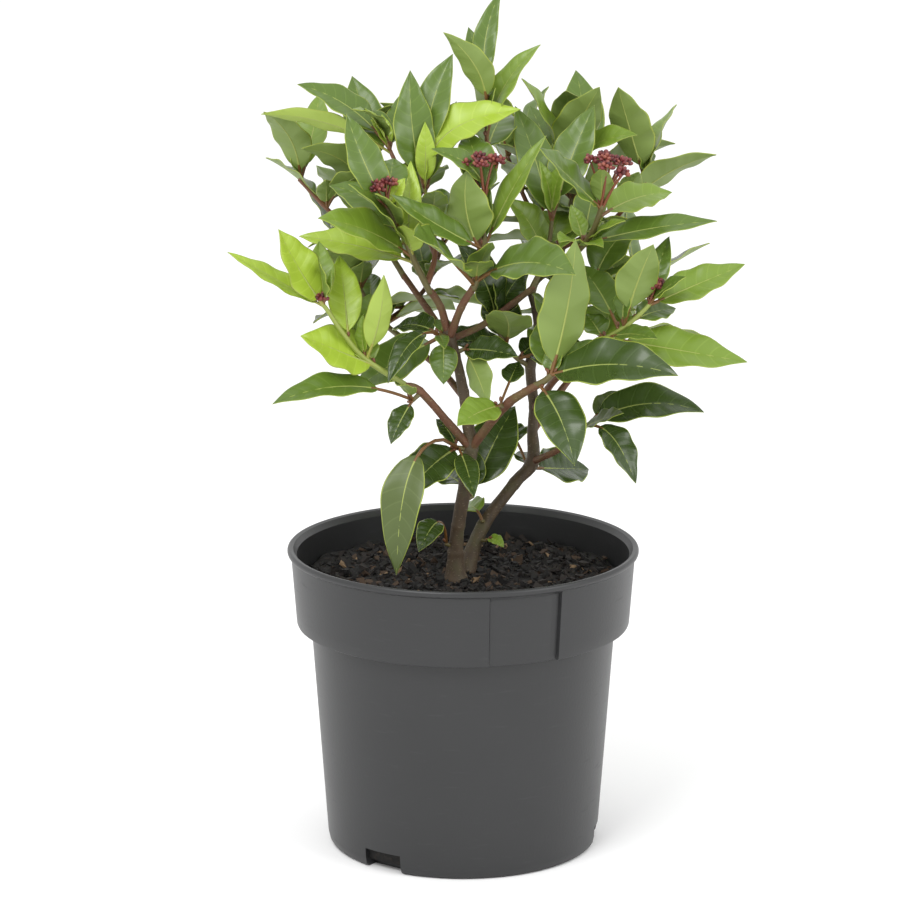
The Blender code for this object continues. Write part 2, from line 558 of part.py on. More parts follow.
def make_pot(parts, cutters):
    body_slope = (BODY_TOP_RADIUS - BODY_FOOT_RADIUS) / (COLLAR_FOOT_HEIGHT - 4)
    inner_foot = BODY_FOOT_RADIUS - POT_WALL
    profile = [
        (LIP_RADIUS - 0.7, POT_HEIGHT), (LIP_RADIUS, POT_HEIGHT - 0.9), (LIP_RADIUS, POT_HEIGHT - 2.6),
        (COLLAR_TOP_RADIUS, POT_HEIGHT - 4.2), (COLLAR_FOOT_RADIUS, COLLAR_FOOT_HEIGHT + 0.8),
        (COLLAR_FOOT_RADIUS - 0.8, COLLAR_FOOT_HEIGHT), (BODY_TOP_RADIUS, COLLAR_FOOT_HEIGHT - 0.6),
        (BODY_FOOT_RADIUS, 4), (BODY_FOOT_RADIUS - 0.7, 1.4), (BODY_FOOT_RADIUS - 2.1, 0), (0, 0),
        (0, POT_FLOOR), (inner_foot - 2, POT_FLOOR), (inner_foot, 4.5),
        (BODY_TOP_RADIUS - POT_WALL - body_slope, COLLAR_FOOT_HEIGHT + 1.4),
        (COLLAR_FOOT_RADIUS - POT_WALL - 0.4, COLLAR_FOOT_HEIGHT + 2.8),
        (COLLAR_TOP_RADIUS - POT_WALL - 0.2, POT_HEIGHT - 1.2), (COLLAR_TOP_RADIUS - POT_WALL + 0.5, POT_HEIGHT),
    ]
    start = profile.index((0, POT_FLOOR))
    pot = turned("pot", profile[start:] + profile[:start], parts)
    for number, bearing in enumerate(DRAIN_BEARINGS):
        bpy.ops.mesh.primitive_cube_add(size=1)
        notch = helper(bpy.context.object)
        notch.name = f"drain_{number}"
        notch.scale = (12 * MM, DRAIN_WIDTH * MM, 2 * DRAIN_HEIGHT * MM)
        notch.location = Vector(heading(bearing, 0)) * (BODY_FOOT_RADIUS - 1.0) * MM
        notch.rotation_euler = (0, 0, math.radians(bearing))
        move_to(notch, cutters)
        bpy.context.view_layer.update()
        cut(pot, notch)
    ring = []
    for bearing in np.linspace(PANEL_FROM, PANEL_TO, 6):
        for radius, height in ((COLLAR_FOOT_RADIUS + 9, COLLAR_FOOT_HEIGHT + 4),
                               (COLLAR_FOOT_RADIUS + 0.3 - PANEL_DEPTH, COLLAR_FOOT_HEIGHT + 4),
                               (COLLAR_TOP_RADIUS - 0.3 - PANEL_DEPTH, POT_HEIGHT - 6.5),
                               (COLLAR_TOP_RADIUS + 9, POT_HEIGHT - 6.5)):
            ring.append(heading(bearing, 0) * radius + np.array([0, 0, height]))
    faces = [(0, 1, 2, 3), tuple(len(ring) - 4 + j for j in (3, 2, 1, 0))]
    for k in range(5):
        faces += [(4 * k + j, 4 * k + 4 + j, 4 * k + 4 + (j + 1) % 4, 4 * k + (j + 1) % 4) for j in range(4)]
    panel = helper(new_object("panel_recess", ring, faces, cutters))
    cut(pot, panel)
    return pot


def make_soil(parts):
    wall = BODY_TOP_RADIUS - POT_WALL
    inner_foot = BODY_FOOT_RADIUS - POT_WALL
    slope = (COLLAR_TOP_RADIUS - COLLAR_FOOT_RADIUS) / (POT_HEIGHT - COLLAR_FOOT_HEIGHT)
    edge = COLLAR_FOOT_RADIUS - POT_WALL - 0.6 + slope * (SOIL_TOP - COLLAR_FOOT_HEIGHT)
    profile = [(0, SOIL_TOP), (9, SOIL_TOP), (24, SOIL_TOP), (42, SOIL_TOP), (56, SOIL_TOP - 0.3),
               (edge - GAP - 0.2, SOIL_TOP - 1.4), (COLLAR_FOOT_RADIUS - POT_WALL - 1.2, COLLAR_FOOT_HEIGHT + 3.6),
               (wall - 1.0, COLLAR_FOOT_HEIGHT + 2.6), (inner_foot - 0.6, 5.2),
               (inner_foot - 2.6, POT_FLOOR + GAP), (0, POT_FLOOR + GAP)]
    soil = turned("soil", profile, parts, 36)
    for point in soil.data.vertices:
        x, y, z = point.co / MM
        reach = math.hypot(x, y)
        if z > SOIL_TOP - 0.5 and reach > 20:
            wave = math.sin(x * 0.21 + 1.3) * math.cos(y * 0.17) + 0.6 * math.sin(x * 0.43 - y * 0.39)
            point.co.z += SOIL_RIPPLE * wave * min(1, (reach - 20) / 12) * MM
    return soil


def make_limbs(parts, cutters):
    """The stems, flat cut at the soil, and the boughs, each cut 0.3 mm clear of the stem it leaves."""
    limbs = {}
    bpy.ops.mesh.primitive_cube_add(size=1)
    ground = helper(bpy.context.object)
    ground.name = "ground_cut"
    ground.scale = (60 * MM, 60 * MM, 20 * MM)
    ground.location = (0, 0, (SOIL_TOP + GAP - 10) * MM)
    move_to(ground, cutters)
    for name, limb in STEMS.items():
        obj = tube(name, *limb_lines(limb, LIMB_STEPS), parts)
        cut(obj, ground)
        limbs[name] = mesh_of(obj, parts)
    rooms = {name: clearance(name + "_room", limb, cutters) for name, limb in {**STEMS, **BOUGHS}.items()}
    made = []
    for name, limb in BOUGHS.items():
        obj = tube(name, *limb_lines(limb, LIMB_STEPS), parts)
        cut(obj, rooms[limb["on"]])
        here = tree_of_object(obj)
        for sibling in made:
            if here.overlap(tree_of_object(rooms[sibling])):
                cut(obj, rooms[sibling])
        limbs[name] = mesh_of(obj, parts)
        keep_main_body(limbs[name])
        made.append(name)
    return limbs, rooms


def head_of_buds(twig_path, buds):
    """Rays from the twig's tip, each ending in a clump of buds: (ray end, clump radius)."""
    count, height, spread, clump = buds
    tip, axis = twig_path[-1], unit(twig_path[-1] - twig_path[-3])
    axis = unit(axis + np.array([0, 0, 1.2]))
    side = unit(np.cross(axis, [0, 1, 0.01]))
    other = np.cross(axis, side)
    ends = []
    for k in range(count):
        angle = 2.39996 * k + 0.4
        out = spread * math.sqrt((k + 0.5) / count)
        lift = height * (1 - 0.22 * (out / max(spread, 1)) ** 2)
        ends.append(tip + axis * lift + side * out * math.cos(angle) + other * out * math.sin(angle))
    return ends, clump


def make_twigs(name, mass, group):
    """The mass's twigs and heads of buds, each in the group as a piece; gives their paths and trees."""
    paths, trees = [], []
    for number, twig in enumerate(mass["twigs"]):
        path = smooth_path(twig["path"], 2 if len(twig["path"]) > 2 else 1)
        paths.append(path)
        obj = tube(f"{name}_twig_{number}", path, np.linspace(*twig["radii"], len(path)), group, 0)
        trees.append(tree_of_object(obj))
        if "buds" not in twig:
            continue
        ends, clump = head_of_buds(path, twig["buds"])
        for k, end in enumerate(ends):
            ray = [path[-1] - (path[-1] - path[-2]) * 0.5, (path[-1] + end) / 2 + [0, 0, 0.6], end]
            obj = tube(f"{name}_ray_{k}", ray, [0.7, 0.55, 0.6], group, 0)
            trees.append(tree_of_object(obj))
            ball = bmesh.new()
            bmesh.ops.create_icosphere(ball, subdivisions=1, radius=clump)
            shape = [np.array(v.co) * (1, 1, 0.85) + end for v in ball.verts]
            faces = [tuple(v.index for v in f.verts) for f in ball.faces]
            ball.free()
            new_object(f"{name}_buds_{k}", shape, faces, group)
            trees.append(tree_of(shape, faces))
    return paths, trees


def make_leaves(name, mass, paths, taken, group):
    """Each leaf is tried at a few swivels and left out if it would touch something at all of them."""
    sun = mass.get("sun", FRONT)
    others = [tree for key, trees in taken.items() if key not in (mass["on"], name) for tree in trees]
    blades, count = [], 0
    for twig, path in zip(mass["twigs"], paths):
        for row in twig.get("leaves") or ruled_leaves(*twig["rule"]):
            root = point_along(path, row[0])
            for swing, lift in SWIVELS:
                tried = (row[0], row[1] + swing, row[2] + lift, *row[3:])
                points, faces = leaf_shape(root, tried, sun, LEAF_ROOM)
                whole = tree_of(points, faces)
                blade = tree_of(points, [f for f in faces if min(f) >= 4])
                if points[:, 2].min() < SOIL_TOP + 2:
                    continue
                if any(whole.overlap(tree) for tree in others):
                    continue
                if any(blade.overlap(tree) for tree in taken[mass["on"]] + blades):
                    continue
                new_object(f"{name}_leaf_{count}", *leaf_shape(root, tried, sun), group)
                blades.append(blade)
                taken[name].append(whole)
                count += 1
                break
    return count


def join_mass(name, group, rooms, parts):
    """The mass's pieces as one body, cut clear of every limb that they reach."""
    stem = bpy.data.objects[f"{name}_twig_0"]
    move_to(stem, parts)
    join = stem.modifiers.new("join", "BOOLEAN")
    join.operation = "UNION"
    join.operand_type = "COLLECTION"
    join.collection = group
    mass = mesh_of(stem, parts)
    shape = tree_of_object(mass)
    for room in rooms.values():
        if shape.overlap(tree_of_object(room)):
            cut(mass, room)
    mass = mesh_of(mass, parts)
    mass.name = name
    keep_main_body(mass)
    for obj in list(group.objects):
        bpy.data.objects.remove(obj)
    bpy.data.collections.remove(group)
    return mass


def main():
    for obj in list(bpy.data.objects):
        bpy.data.objects.remove(obj)
    parts = bpy.data.collections.new("potted_laurustinus")
    cutters = bpy.data.collections.new("cutters")
    bpy.context.scene.collection.children.link(parts)
    bpy.context.scene.collection.children.link(cutters)
    pot = make_pot(parts, cutters)
    soil = make_soil(parts)
    limbs, rooms = make_limbs(parts, cutters)
    taken = {name: [tree_of_object(obj)] for name, obj in limbs.items()}
    groups, paths, masses, leaves = {}, {}, {}, 0
    for name, mass in MASSES.items():
        groups[name] = bpy.data.collections.new(name + "_pieces")
        bpy.context.scene.collection.children.link(groups[name])
        paths[name], taken[name] = make_twigs(name, mass, groups[name])
    for name, mass in MASSES.items():
        leaves += make_leaves(name, mass, paths[name], taken, groups[name])
    for name in MASSES:
        masses[name] = join_mass(name, groups[name], rooms, parts)
    looks = {kind: material(kind) for kind in COLOURS}
    pot.data.materials.append(looks["pot"])
    soil.data.materials.append(looks["soil"])
    for name, obj in limbs.items():
        obj.data.materials.append(looks[name.split("_")[0]])
    for name, obj in masses.items():
        obj.data.materials.clear()
        obj.data.materials.append(looks.get(name, looks["leaves"]))
    print("leaves", leaves)


main()
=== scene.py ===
import math
import random

import bmesh
import bpy
import numpy as np
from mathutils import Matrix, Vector
from mathutils.bvhtree import BVHTree


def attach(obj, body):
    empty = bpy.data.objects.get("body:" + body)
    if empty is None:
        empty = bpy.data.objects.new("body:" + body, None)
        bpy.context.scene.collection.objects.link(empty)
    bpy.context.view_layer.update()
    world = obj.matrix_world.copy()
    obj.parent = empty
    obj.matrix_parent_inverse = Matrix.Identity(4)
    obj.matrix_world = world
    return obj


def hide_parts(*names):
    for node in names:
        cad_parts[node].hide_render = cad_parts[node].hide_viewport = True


# A young laurustinus in a plain nursery pot. Lengths in the tables are in millimetres and angles in
# degrees, with bearings seen from above: 0 is +X, 90 is the back. The plant grows by the same rule
# as its solids, carried on to veins, margins, young leaves and buds.

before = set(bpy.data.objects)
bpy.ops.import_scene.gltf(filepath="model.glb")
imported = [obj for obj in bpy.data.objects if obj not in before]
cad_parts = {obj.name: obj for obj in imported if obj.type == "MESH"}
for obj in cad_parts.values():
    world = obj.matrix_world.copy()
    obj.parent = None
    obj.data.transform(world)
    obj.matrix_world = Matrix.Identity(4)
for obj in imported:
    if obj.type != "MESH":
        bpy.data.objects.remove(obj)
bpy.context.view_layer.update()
mm = 0.001
front = 270  # the camera's side, where the near leaves find their light
goldenAngle = 2.39996  # in radians, as seeds and rays stand round a stem


# Shader maths

class Expr:  # wraps a socket, so that maths on it reads as Python and adds its Math nodes
    def __init__(self, look, socket):
        self.look, self.socket = look, socket

    def maths(self, operation, other):
        return self.look.node("ShaderNodeMath", {"operation": operation}, {0: self, 1: other})["Value"]

    def __add__(self, other):
        return self.maths("ADD", other)

    def __mul__(self, other):
        return self.maths("MULTIPLY", other)

    __radd__ = __add__
    __rmul__ = __mul__


class Look:  # a material: its Principled shader, and one method that adds any other node
    def __init__(self, name, colour, rough):
        self.material = bpy.data.materials.new(name)
        self.material.use_nodes = True
        self.material.diffuse_color = (*colour, 1)
        self.tree = self.material.node_tree
        self.shader = self.tree.nodes["Principled BSDF"]
        self.shader.inputs["Base Color"].default_value = (*colour, 1)
        self.shader.inputs["Roughness"].default_value = rough

    def node(self, kind, settings, sockets):
        made = self.tree.nodes.new(kind)
        for key, value in settings.items():
            setattr(made, key, value)
        for key, value in sockets.items():
            if isinstance(value, Expr):
                self.tree.links.new(value.socket, made.inputs[key])
            else:
                made.inputs[key].default_value = value
        return {out.name: Expr(self, out) for out in reversed(list(made.outputs)) if out.enabled}

    def place(self, stretch=(1, 1, 1)):
        spot = self.node("ShaderNodeTexCoord", {}, {})["Object"]
        return self.node("ShaderNodeMapping", {}, {"Vector": spot, "Scale": stretch})["Vector"]

    def noise(self, where, scale, detail):
        ends = {"Vector": where, "Scale": scale, "Detail": detail}
        return self.node("ShaderNodeTexNoise", {}, ends)["Fac"]

    def mix(self, share, first, second):
        first, second = (end if isinstance(end, Expr) else (*end, 1) for end in (first, second))
        ends = {0: share, 6: first, 7: second}  # by place, because the sockets of a Mix node share names
        return self.node("ShaderNodeMix", {"data_type": "RGBA"}, ends)["Result"]

    def steps(self, value, low, high):  # 0 below low, 1 above high, and a straight rise between
        ends = {"Value": value, "From Min": low, "From Max": high}
        return self.node("ShaderNodeMapRange", {}, ends)["Result"]

    def feed(self, name, value):
        self.tree.links.new(value.socket, self.shader.inputs[name])

    def bump(self, height, distance, strength):
        ends = {"Height": height, "Distance": distance, "Strength": strength}
        self.feed("Normal", self.node("ShaderNodeBump", {}, ends)["Normal"])


def plainLooks(colours):
    return {name: Look(name, colour, rough).material for name, (colour, rough) in colours.items()}


# The plant's rule, as its solids follow it

habit = {
    "sunPull": 1.8, "sunRise": 28,  # how strongly and how steeply a leaf's face turns to the light
    "outline": (0.7, 1.05), "widest": 0.4,  # how fast a blade widens and narrows, and where it is widest
    # Turns of a leaf's bearing and rise that the solids try, in this order, keeping the one that lies
    # nearest its solid
    "swivels": ((0, 0), (8, 0), (-8, 0), (0, 8), (0, -8), (14, 6), (-14, 6), (14, -8), (-14, -8), (22, 0),
                (-22, 0), (0, 16), (0, -16), (30, 8), (-30, 8), (32, -8), (-32, -8), (44, 0), (-44, 0)),
    "tested": (0.55, 0.8, 0.98), "nearest": 1.6,  # places of the midrib that have to be so near its solid
}


def unit(v):
    return v / np.linalg.norm(v)


def heading(bearing, rise):
    b, r = math.radians(bearing), math.radians(rise)
    return np.array([math.cos(r) * math.cos(b), math.cos(r) * math.sin(b), math.sin(r)])


def smoothPath(points, steps):
    # A Catmull-Rom curve: each piece is a cubic through two points, its slopes set by their neighbours
    p = np.array(points, float)
    if len(p) == 2:
        t = np.linspace(0, 1, steps + 1)[:, None]
        return p[0] * (1 - t) + p[1] * t
    q = np.vstack([2 * p[0] - p[1], p, 2 * p[-1] - p[-2]])
    t = np.arange(steps)[None, :, None] / steps
    a, b, c, d = (q[k:k + len(p) - 1][:, None, :] for k in range(4))
    curve = 0.5 * (2 * b + (c - a) * t + (2 * a - 5 * b + 4 * c - d) * t ** 2
                   + (3 * b - a - 3 * c + d) * t ** 3)
    return np.vstack([curve.reshape(-1, 3), p[-1]])


def pointAlong(path, t):
    run = np.concatenate([[0], np.cumsum(np.linalg.norm(np.diff(path, axis=0), axis=1))])
    return np.array([np.interp(t * run[-1], run, path[:, i]) for i in range(3)])


def leafLine(places, row, sun):
    # Midrib = chord + hump * (arch upwards + bow sideways), with hump = u ^ early * (1 - u) ^ late, its
    # top at 1. The side and top of the blade turn about it, along the stalk, until they face the light
    _, bearing, rise, length, _, arch, face, stalk, bow = row
    u = np.clip(np.asarray(places, float), 0, 1)
    ahead, up = heading(bearing, rise), heading(bearing, rise + 90)
    towards = up + habit["sunPull"] * face * heading(sun, habit["sunRise"])
    towards = unit(towards - ahead * (towards @ ahead))
    across = np.cross(ahead, up)
    turn = math.atan2(towards @ across, towards @ up)
    sideways = np.cross(ahead, towards)
    sideways = sideways if sideways[0] >= 0 else -sideways
    early = 0.6 if arch >= 0.3 else 0.8 if arch >= 0.2 else 1.0  # a leaf that hangs bends near its stalk
    late = 1.1 if arch >= 0.2 else 1.0
    peak = early / (early + late)
    top = peak ** early * (1 - peak) ** late
    bend = arch * up + bow * sideways

    def midrib(u):
        return np.outer(u, ahead) + np.outer(u ** early * (1 - u) ** late / top, bend)

    fine = np.linspace(0, 1, 41)
    slope = np.gradient(midrib(fine), axis=0)
    along = np.array([np.interp(u, fine, slope[:, i]) for i in range(3)]).T
    along /= np.linalg.norm(along, axis=1)[:, None]
    normal = np.cross(across, along)
    normal /= np.linalg.norm(normal, axis=1)[:, None]
    angle = (turn * np.clip(u / max(stalk, 0.05), 0, 1))[:, None]
    side = across * np.cos(angle) - normal * np.sin(angle)
    return midrib(u) * length, side, normal * np.cos(angle) + across * np.sin(angle)


def halfWidth(v, width):
    # Half width = v ^ near * (1 - v) ^ far, scaled to half of the leaf's width where it is widest
    (near, far), widest = habit["outline"], habit["widest"]
    return width / 2 * v ** near * (1 - v) ** far / (widest ** near * (1 - widest) ** far)


def ruledLeaves(seed, pairs, length, width, turn):
    # Pairs of leaves, each turned a quarter from the last and steeper than it, with a little chance in all
    draw = random.Random(seed)
    rows = []
    for k in range(pairs):
        place = 0.3 + 0.68 * k / (pairs - 1)
        for side in (0, 180):
            bearing = turn + 90 * k + side + draw.uniform(-14, 14)
            rise = 5 + 55 * place ** 2 + draw.uniform(-14, 10)
            size = (length * draw.uniform(0.78, 1.05), width * draw.uniform(0.85, 1.1))
            arch, face = draw.uniform(0.03, 0.14), draw.uniform(0.2, 0.8)
            stalk, bow = draw.uniform(0.1, 0.18), draw.uniform(-0.06, 0.06)
            rows.append((place, bearing, rise, *size, arch, face, stalk, bow))
    return rows


def settledRow(root, row, sun, solid):
    # The swivel at which the leaf lies on its solid, or none where the solid has left the leaf out. An
    # earlier swivel holds unless a later one is clearly nearer
    best, found = habit["nearest"], None
    for swing, lift in habit["swivels"]:
        tried = (row[0], row[1] + swing, row[2] + lift, *row[3:])
        middle = leafLine(habit["tested"], tried, sun)[0] + root
        off = max(solid.find_nearest(Vector(p) * mm)[3] / mm for p in middle)
        if off < best - 0.05:
            best, found = off, tried
    return found


# Mesh making

class Pile:  # gathers the points, faces and looks of many small shapes into one mesh
    def __init__(self, looks):
        self.looks, self.points, self.faces, self.slots, self.count = looks, [], [], [], 0
        self.order = {name: place for place, name in enumerate(looks)}

    def add(self, points, faces, names):  # one name of a look for all the faces, or one for each
        self.points.append(points)
        self.faces.append(faces + self.count)
        self.slots += [self.order[name] for name in np.broadcast_to(names, len(faces))]
        self.count += len(points)

    def build(self, name, smooth=True):
        points, faces = np.vstack(self.points) * mm, np.vstack(self.faces)
        mesh = bpy.data.meshes.new(name)
        mesh.from_pydata(points, [], faces)
        for look in self.looks.values():
            mesh.materials.append(look)
        mesh.polygons.foreach_set("material_index", np.array(self.slots, np.int32))
        mesh.polygons.foreach_set("use_smooth", np.full(len(faces), smooth))
        mesh.update()
        obj = bpy.data.objects.new(name, mesh)
        bpy.context.scene.collection.objects.link(obj)
        return obj


def gridFaces(rows, columns, ring=False):
    # Quads between neighbouring rows, whose columns run round; in a ring the last row meets the first
    r, c = np.arange(rows if ring else rows - 1)[:, None], np.arange(columns)[None, :]
    here, beyond, beside = r * columns, (r + 1) % rows * columns, (c + 1) % columns
    return np.stack([here + c, here + beside, beyond + beside, beyond + c], -1).reshape(-1, 4)


def pathFrames(path):
    # The path's direction, one across it that is also square to a fixed direction, and one square to both
    ahead = np.gradient(path, axis=0)
    ahead /= np.linalg.norm(ahead, axis=1)[:, None]
    first = np.cross(ahead, unit(np.array([0.31, 0.94, 0.12])))  # the fixed one, mostly to the back
    first /= np.linalg.norm(first, axis=1)[:, None]
    return ahead, first, np.cross(ahead, first)


def tubeMesh(path, radii, sides, relief=0):
    # Rings of centre + radius * (1 + relief) * (cos * first + sin * second), with the ends drawn in
    path = np.asarray(path, float)
    ahead, first, second = pathFrames(path)
    angle = np.linspace(0, 2 * math.pi, sides, endpoint=False)
    rings = (np.asarray(radii, float)[:, None] * np.ones(sides) * (1 + relief))[..., None]
    outward = np.cos(angle)[None, :, None] * first[:, None] + np.sin(angle)[None, :, None] * second[:, None]
    start = np.repeat(path[:1] - ahead[:1] * 0.02, sides, 0)[None]
    end = np.repeat(path[-1:] + ahead[-1:] * radii[-1] * 0.5, sides, 0)[None]
    points = np.concatenate([start, path[:, None] + rings * outward, end]).reshape(-1, 3)
    return points, gridFaces(len(path) + 2, sides)


def weld(obj):
    # Points that lie together become one, and all faces point outwards
    built = bmesh.new()
    built.from_mesh(obj.data)
    bmesh.ops.remove_doubles(built, verts=built.verts, dist=0.02 * mm)
    bmesh.ops.recalc_face_normals(built, faces=built.faces)
    built.to_mesh(obj.data)
    built.free()


def settle(obj):
    # Its modifiers are applied: the evaluated mesh takes the place of its own
    shape = bpy.data.meshes.new_from_object(obj.evaluated_get(bpy.context.evaluated_depsgraph_get()))
    obj.modifiers.clear()
    obj.data = shape


def finish(obj, slot, nodes=()):
    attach(obj, "root")
    if nodes:
        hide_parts(*nodes)


# The pot. The label's place is a panel between two bearings, with a groove along its far edge that is
# grooveWidth degrees wide, and each of its edges falls within edge degrees.

pot = {
    "height": 121.8, "lipRadius": 70.2, "collarTop": 68.6, "collarFoot": 66.6, "collarFootHeight": 90.5,
    "bodyTop": 60.8, "bodyFoot": 54.6, "wall": 2.0, "floor": 2.6, "sides": 192,
    "panel": (278.5, 303.5), "panelDepth": 0.8, "grooveWidth": 3.0, "grooveDepth": 0.7, "edge": 0.15,
    "drainBearings": (234.0, 354.0, 114.0), "drainSize": (12.0, 17.0, 16.0),
    "plastic": ((0.014, 0.0145, 0.015), (0.022, 0.0225, 0.0235)), "scuffed": (0.038, 0.0385, 0.04),
}


def potLook():
    look = Look("potPlastic", (0.03, 0.031, 0.033), 0.4)
    where = look.place()
    cloud = look.noise(where, 22.0, 4.0)
    scuff = look.steps(look.noise(look.place((1, 1, 7)), 90.0, 5.0), 0.62, 0.75)
    plastic = look.mix(cloud, *pot["plastic"])
    look.feed("Base Color", look.mix(scuff * 0.35, plastic, pot["scuffed"]))
    look.feed("Roughness", cloud * 0.14 + 0.33 + scuff * 0.1)
    look.bump(look.noise(where, 900.0, 2.0), 0.00006, 0.6)
    return look.material


def potProfile():
    # Radius and height of each point, out over the lip, down the collar and the body, and up the inside
    height, lip, wall, floor = pot["height"], pot["lipRadius"], pot["wall"], pot["floor"]
    top, foot, under = pot["collarTop"], pot["collarFoot"], pot["collarFootHeight"]
    bodyTop, bodyFoot = pot["bodyTop"], pot["bodyFoot"]
    centre = 0.01
    arc = np.linspace(math.pi * 0.62, -math.pi * 0.5, 9)
    rim = [(lip - 1.0 + math.cos(a), height - 1.3 + 1.3 * math.sin(a)) for a in arc]
    rim += [(top + 0.15, height - 3.1)]
    collar = [*np.linspace((top, height - 4.2), (foot, under + 1.0), 7)]
    collar += [(foot - 0.3, under + 0.3), (foot - 0.9, under)]
    body = [(bodyTop + 0.7, under - 0.3), *np.linspace((bodyTop, under - 1.1), (bodyFoot, 4.0), 9)]
    body += [(bodyFoot - 0.5, 1.6), (bodyFoot - 1.2, 0.5), (bodyFoot - 2.3, 0.0), (30, 0), (centre, 0)]
    inside = [(centre, floor), (bodyFoot - wall - 2, floor), (bodyFoot - wall, 4.6)]
    inside += [(bodyTop - wall, under + 1.4), (foot - wall - 0.4, under + 2.8)]
    inside += [(top - wall - 0.2, height - 2.6), (lip - 2.9, height - 1.4), (lip - 2.4, height - 0.4)]
    onCollar = np.repeat([0, 1, 0], [len(rim), len(collar), len(body) + len(inside)])
    return np.array(rim + collar + body + inside), onCollar


def makePot():
    # The profile is carried round Z, and the collar is pressed in between the bearings of the label's place
    profile, onCollar = potProfile()
    start, end = pot["panel"]
    groove, edge = end - pot["grooveWidth"], pot["edge"]
    edges = np.array([bearing + side for bearing in (start, groove, end) for side in (-edge, edge)])
    even = np.arange(pot["sides"]) * 360 / pot["sides"]
    clear = np.abs(even[:, None] - edges[None]).min(1) > 0.2
    bearings = np.unique(np.concatenate([even[clear], edges]))
    pressed = pot["panelDepth"] * ((bearings > start) & (bearings < end))
    pressed = pressed + pot["grooveDepth"] * ((bearings > groove) & (bearings < end))
    radius = profile[:, 0] - np.outer(pressed, onCollar)
    a = np.radians(bearings)[:, None]
    height = np.broadcast_to(profile[:, 1], radius.shape)
    points = np.stack([radius * np.cos(a), radius * np.sin(a), height], -1)
    pile = Pile({"potPlastic": potLook()})
    pile.add(points.reshape(-1, 3), gridFaces(len(bearings), len(profile), ring=True), "potPlastic")
    shell = pile.build("potShell")
    weld(shell)
    for bearing in pot["drainBearings"]:
        bpy.ops.mesh.primitive_cube_add(size=1)
        notch = bpy.context.object
        notch.scale = Vector(pot["drainSize"]) * mm
        notch.location = Vector(heading(bearing, 0)) * (pot["bodyFoot"] - 1.0) * mm
        notch.rotation_euler = (0, 0, math.radians(bearing))
        bpy.context.view_layer.update()
        change = shell.modifiers.new("drain", "BOOLEAN")
        change.operation = "DIFFERENCE"
        change.object = notch
        settle(shell)
        bpy.data.objects.remove(notch)
    shell.data.set_sharp_from_angle(angle=math.radians(32))
    finish(shell, "pot", ["pot"])
    print("pot", len(shell.data.polygons), "faces")


# The potting mix. Its ripple starts at the first value of level from the axis and grows over the second.
# A chip's centre stays chipRoom inside the radius.

soil = {
    "top": 109.5, "foot": 3.2, "radius": 64.6, "shoulder": 94.0, "shoulderShare": 0.88, "footShare": 0.81,
    "sink": 1.0, "ripple": 0.9, "grain": 0.45, "level": (20, 12), "rings": 46, "sides": 120,
    "colours": ((0.005, 0.0045, 0.004), (0.02, 0.014, 0.01)),
    "chips": 3800, "chipSize": (1.1, 4.6), "chipRoom": 2.6, "chipShares": (0.5, 0.35, 0.125, 0.025),
}
chipColours = {
    "chipBlack": ((0.006, 0.005, 0.0045), 0.9), "chipDark": ((0.014, 0.01, 0.008), 0.92),
    "chipBrown": ((0.045, 0.026, 0.014), 0.9), "chipPale": ((0.2, 0.13, 0.07), 0.85),
}


def soilLook():
    look = Look("pottingMix", (0.008, 0.007, 0.006), 0.95)
    grit = look.noise(look.place(), 420.0, 6.0)
    look.feed("Base Color", look.mix(look.steps(grit, 0.5, 0.75), *soil["colours"]))
    look.bump(grit, 0.0012, 1.0)
    return look.material


def soilHeight(x, y):
    # Height = top + ripple * broad waves, which start away from the stems, + grain * fine waves
    wave = np.sin(x * 0.21 + 1.3) * np.cos(y * 0.17) + 0.6 * np.sin(x * 0.43 - y * 0.39)
    grain = np.sin(x * 1.9 + 2 * np.sin(y * 1.3)) * np.sin(y * 2.3 + np.sin(x * 1.7))
    start, span = soil["level"]
    waving = np.clip((np.hypot(x, y) - start) / span, 0, 1)
    return soil["top"] - soil["sink"] + soil["ripple"] * wave * waving + soil["grain"] * grain


def makeSoil():
    # Rings of radius * (cos, sin) at the height of the waves, and below them the sides and the underside
    sides, ground = soil["sides"], soil["top"] - soil["sink"]
    ring = np.linspace(0.2, 1, soil["rings"])[:, None] * soil["radius"]
    turn = np.linspace(0, 2 * math.pi, sides, endpoint=False)[None, :]
    x, y = ring * np.cos(turn), ring * np.sin(turn)
    top = np.stack([x, y, soilHeight(x, y)], -1)
    side = top[-1:] * [1, 1, 0] + [0, 0, soil["shoulder"]]
    shoulder = side * [soil["shoulderShare"], soil["shoulderShare"], 1]
    foot = side * [soil["footShare"], soil["footShare"], 0] + [0, 0, soil["foot"]]
    middles = [np.broadcast_to([0, 0, height], (1, sides, 3)) for height in (ground, soil["foot"])]
    points = np.concatenate([middles[0], top, side, shoulder, foot, middles[1]]).reshape(-1, 3)
    pile = Pile({"pottingMix": soilLook()})
    pile.add(points, gridFaces(len(points) // sides, sides), "pottingMix")
    bed = pile.build("pottingMix")
    weld(bed)
    finish(bed, "soil", ["soil"])
    print("potting mix")


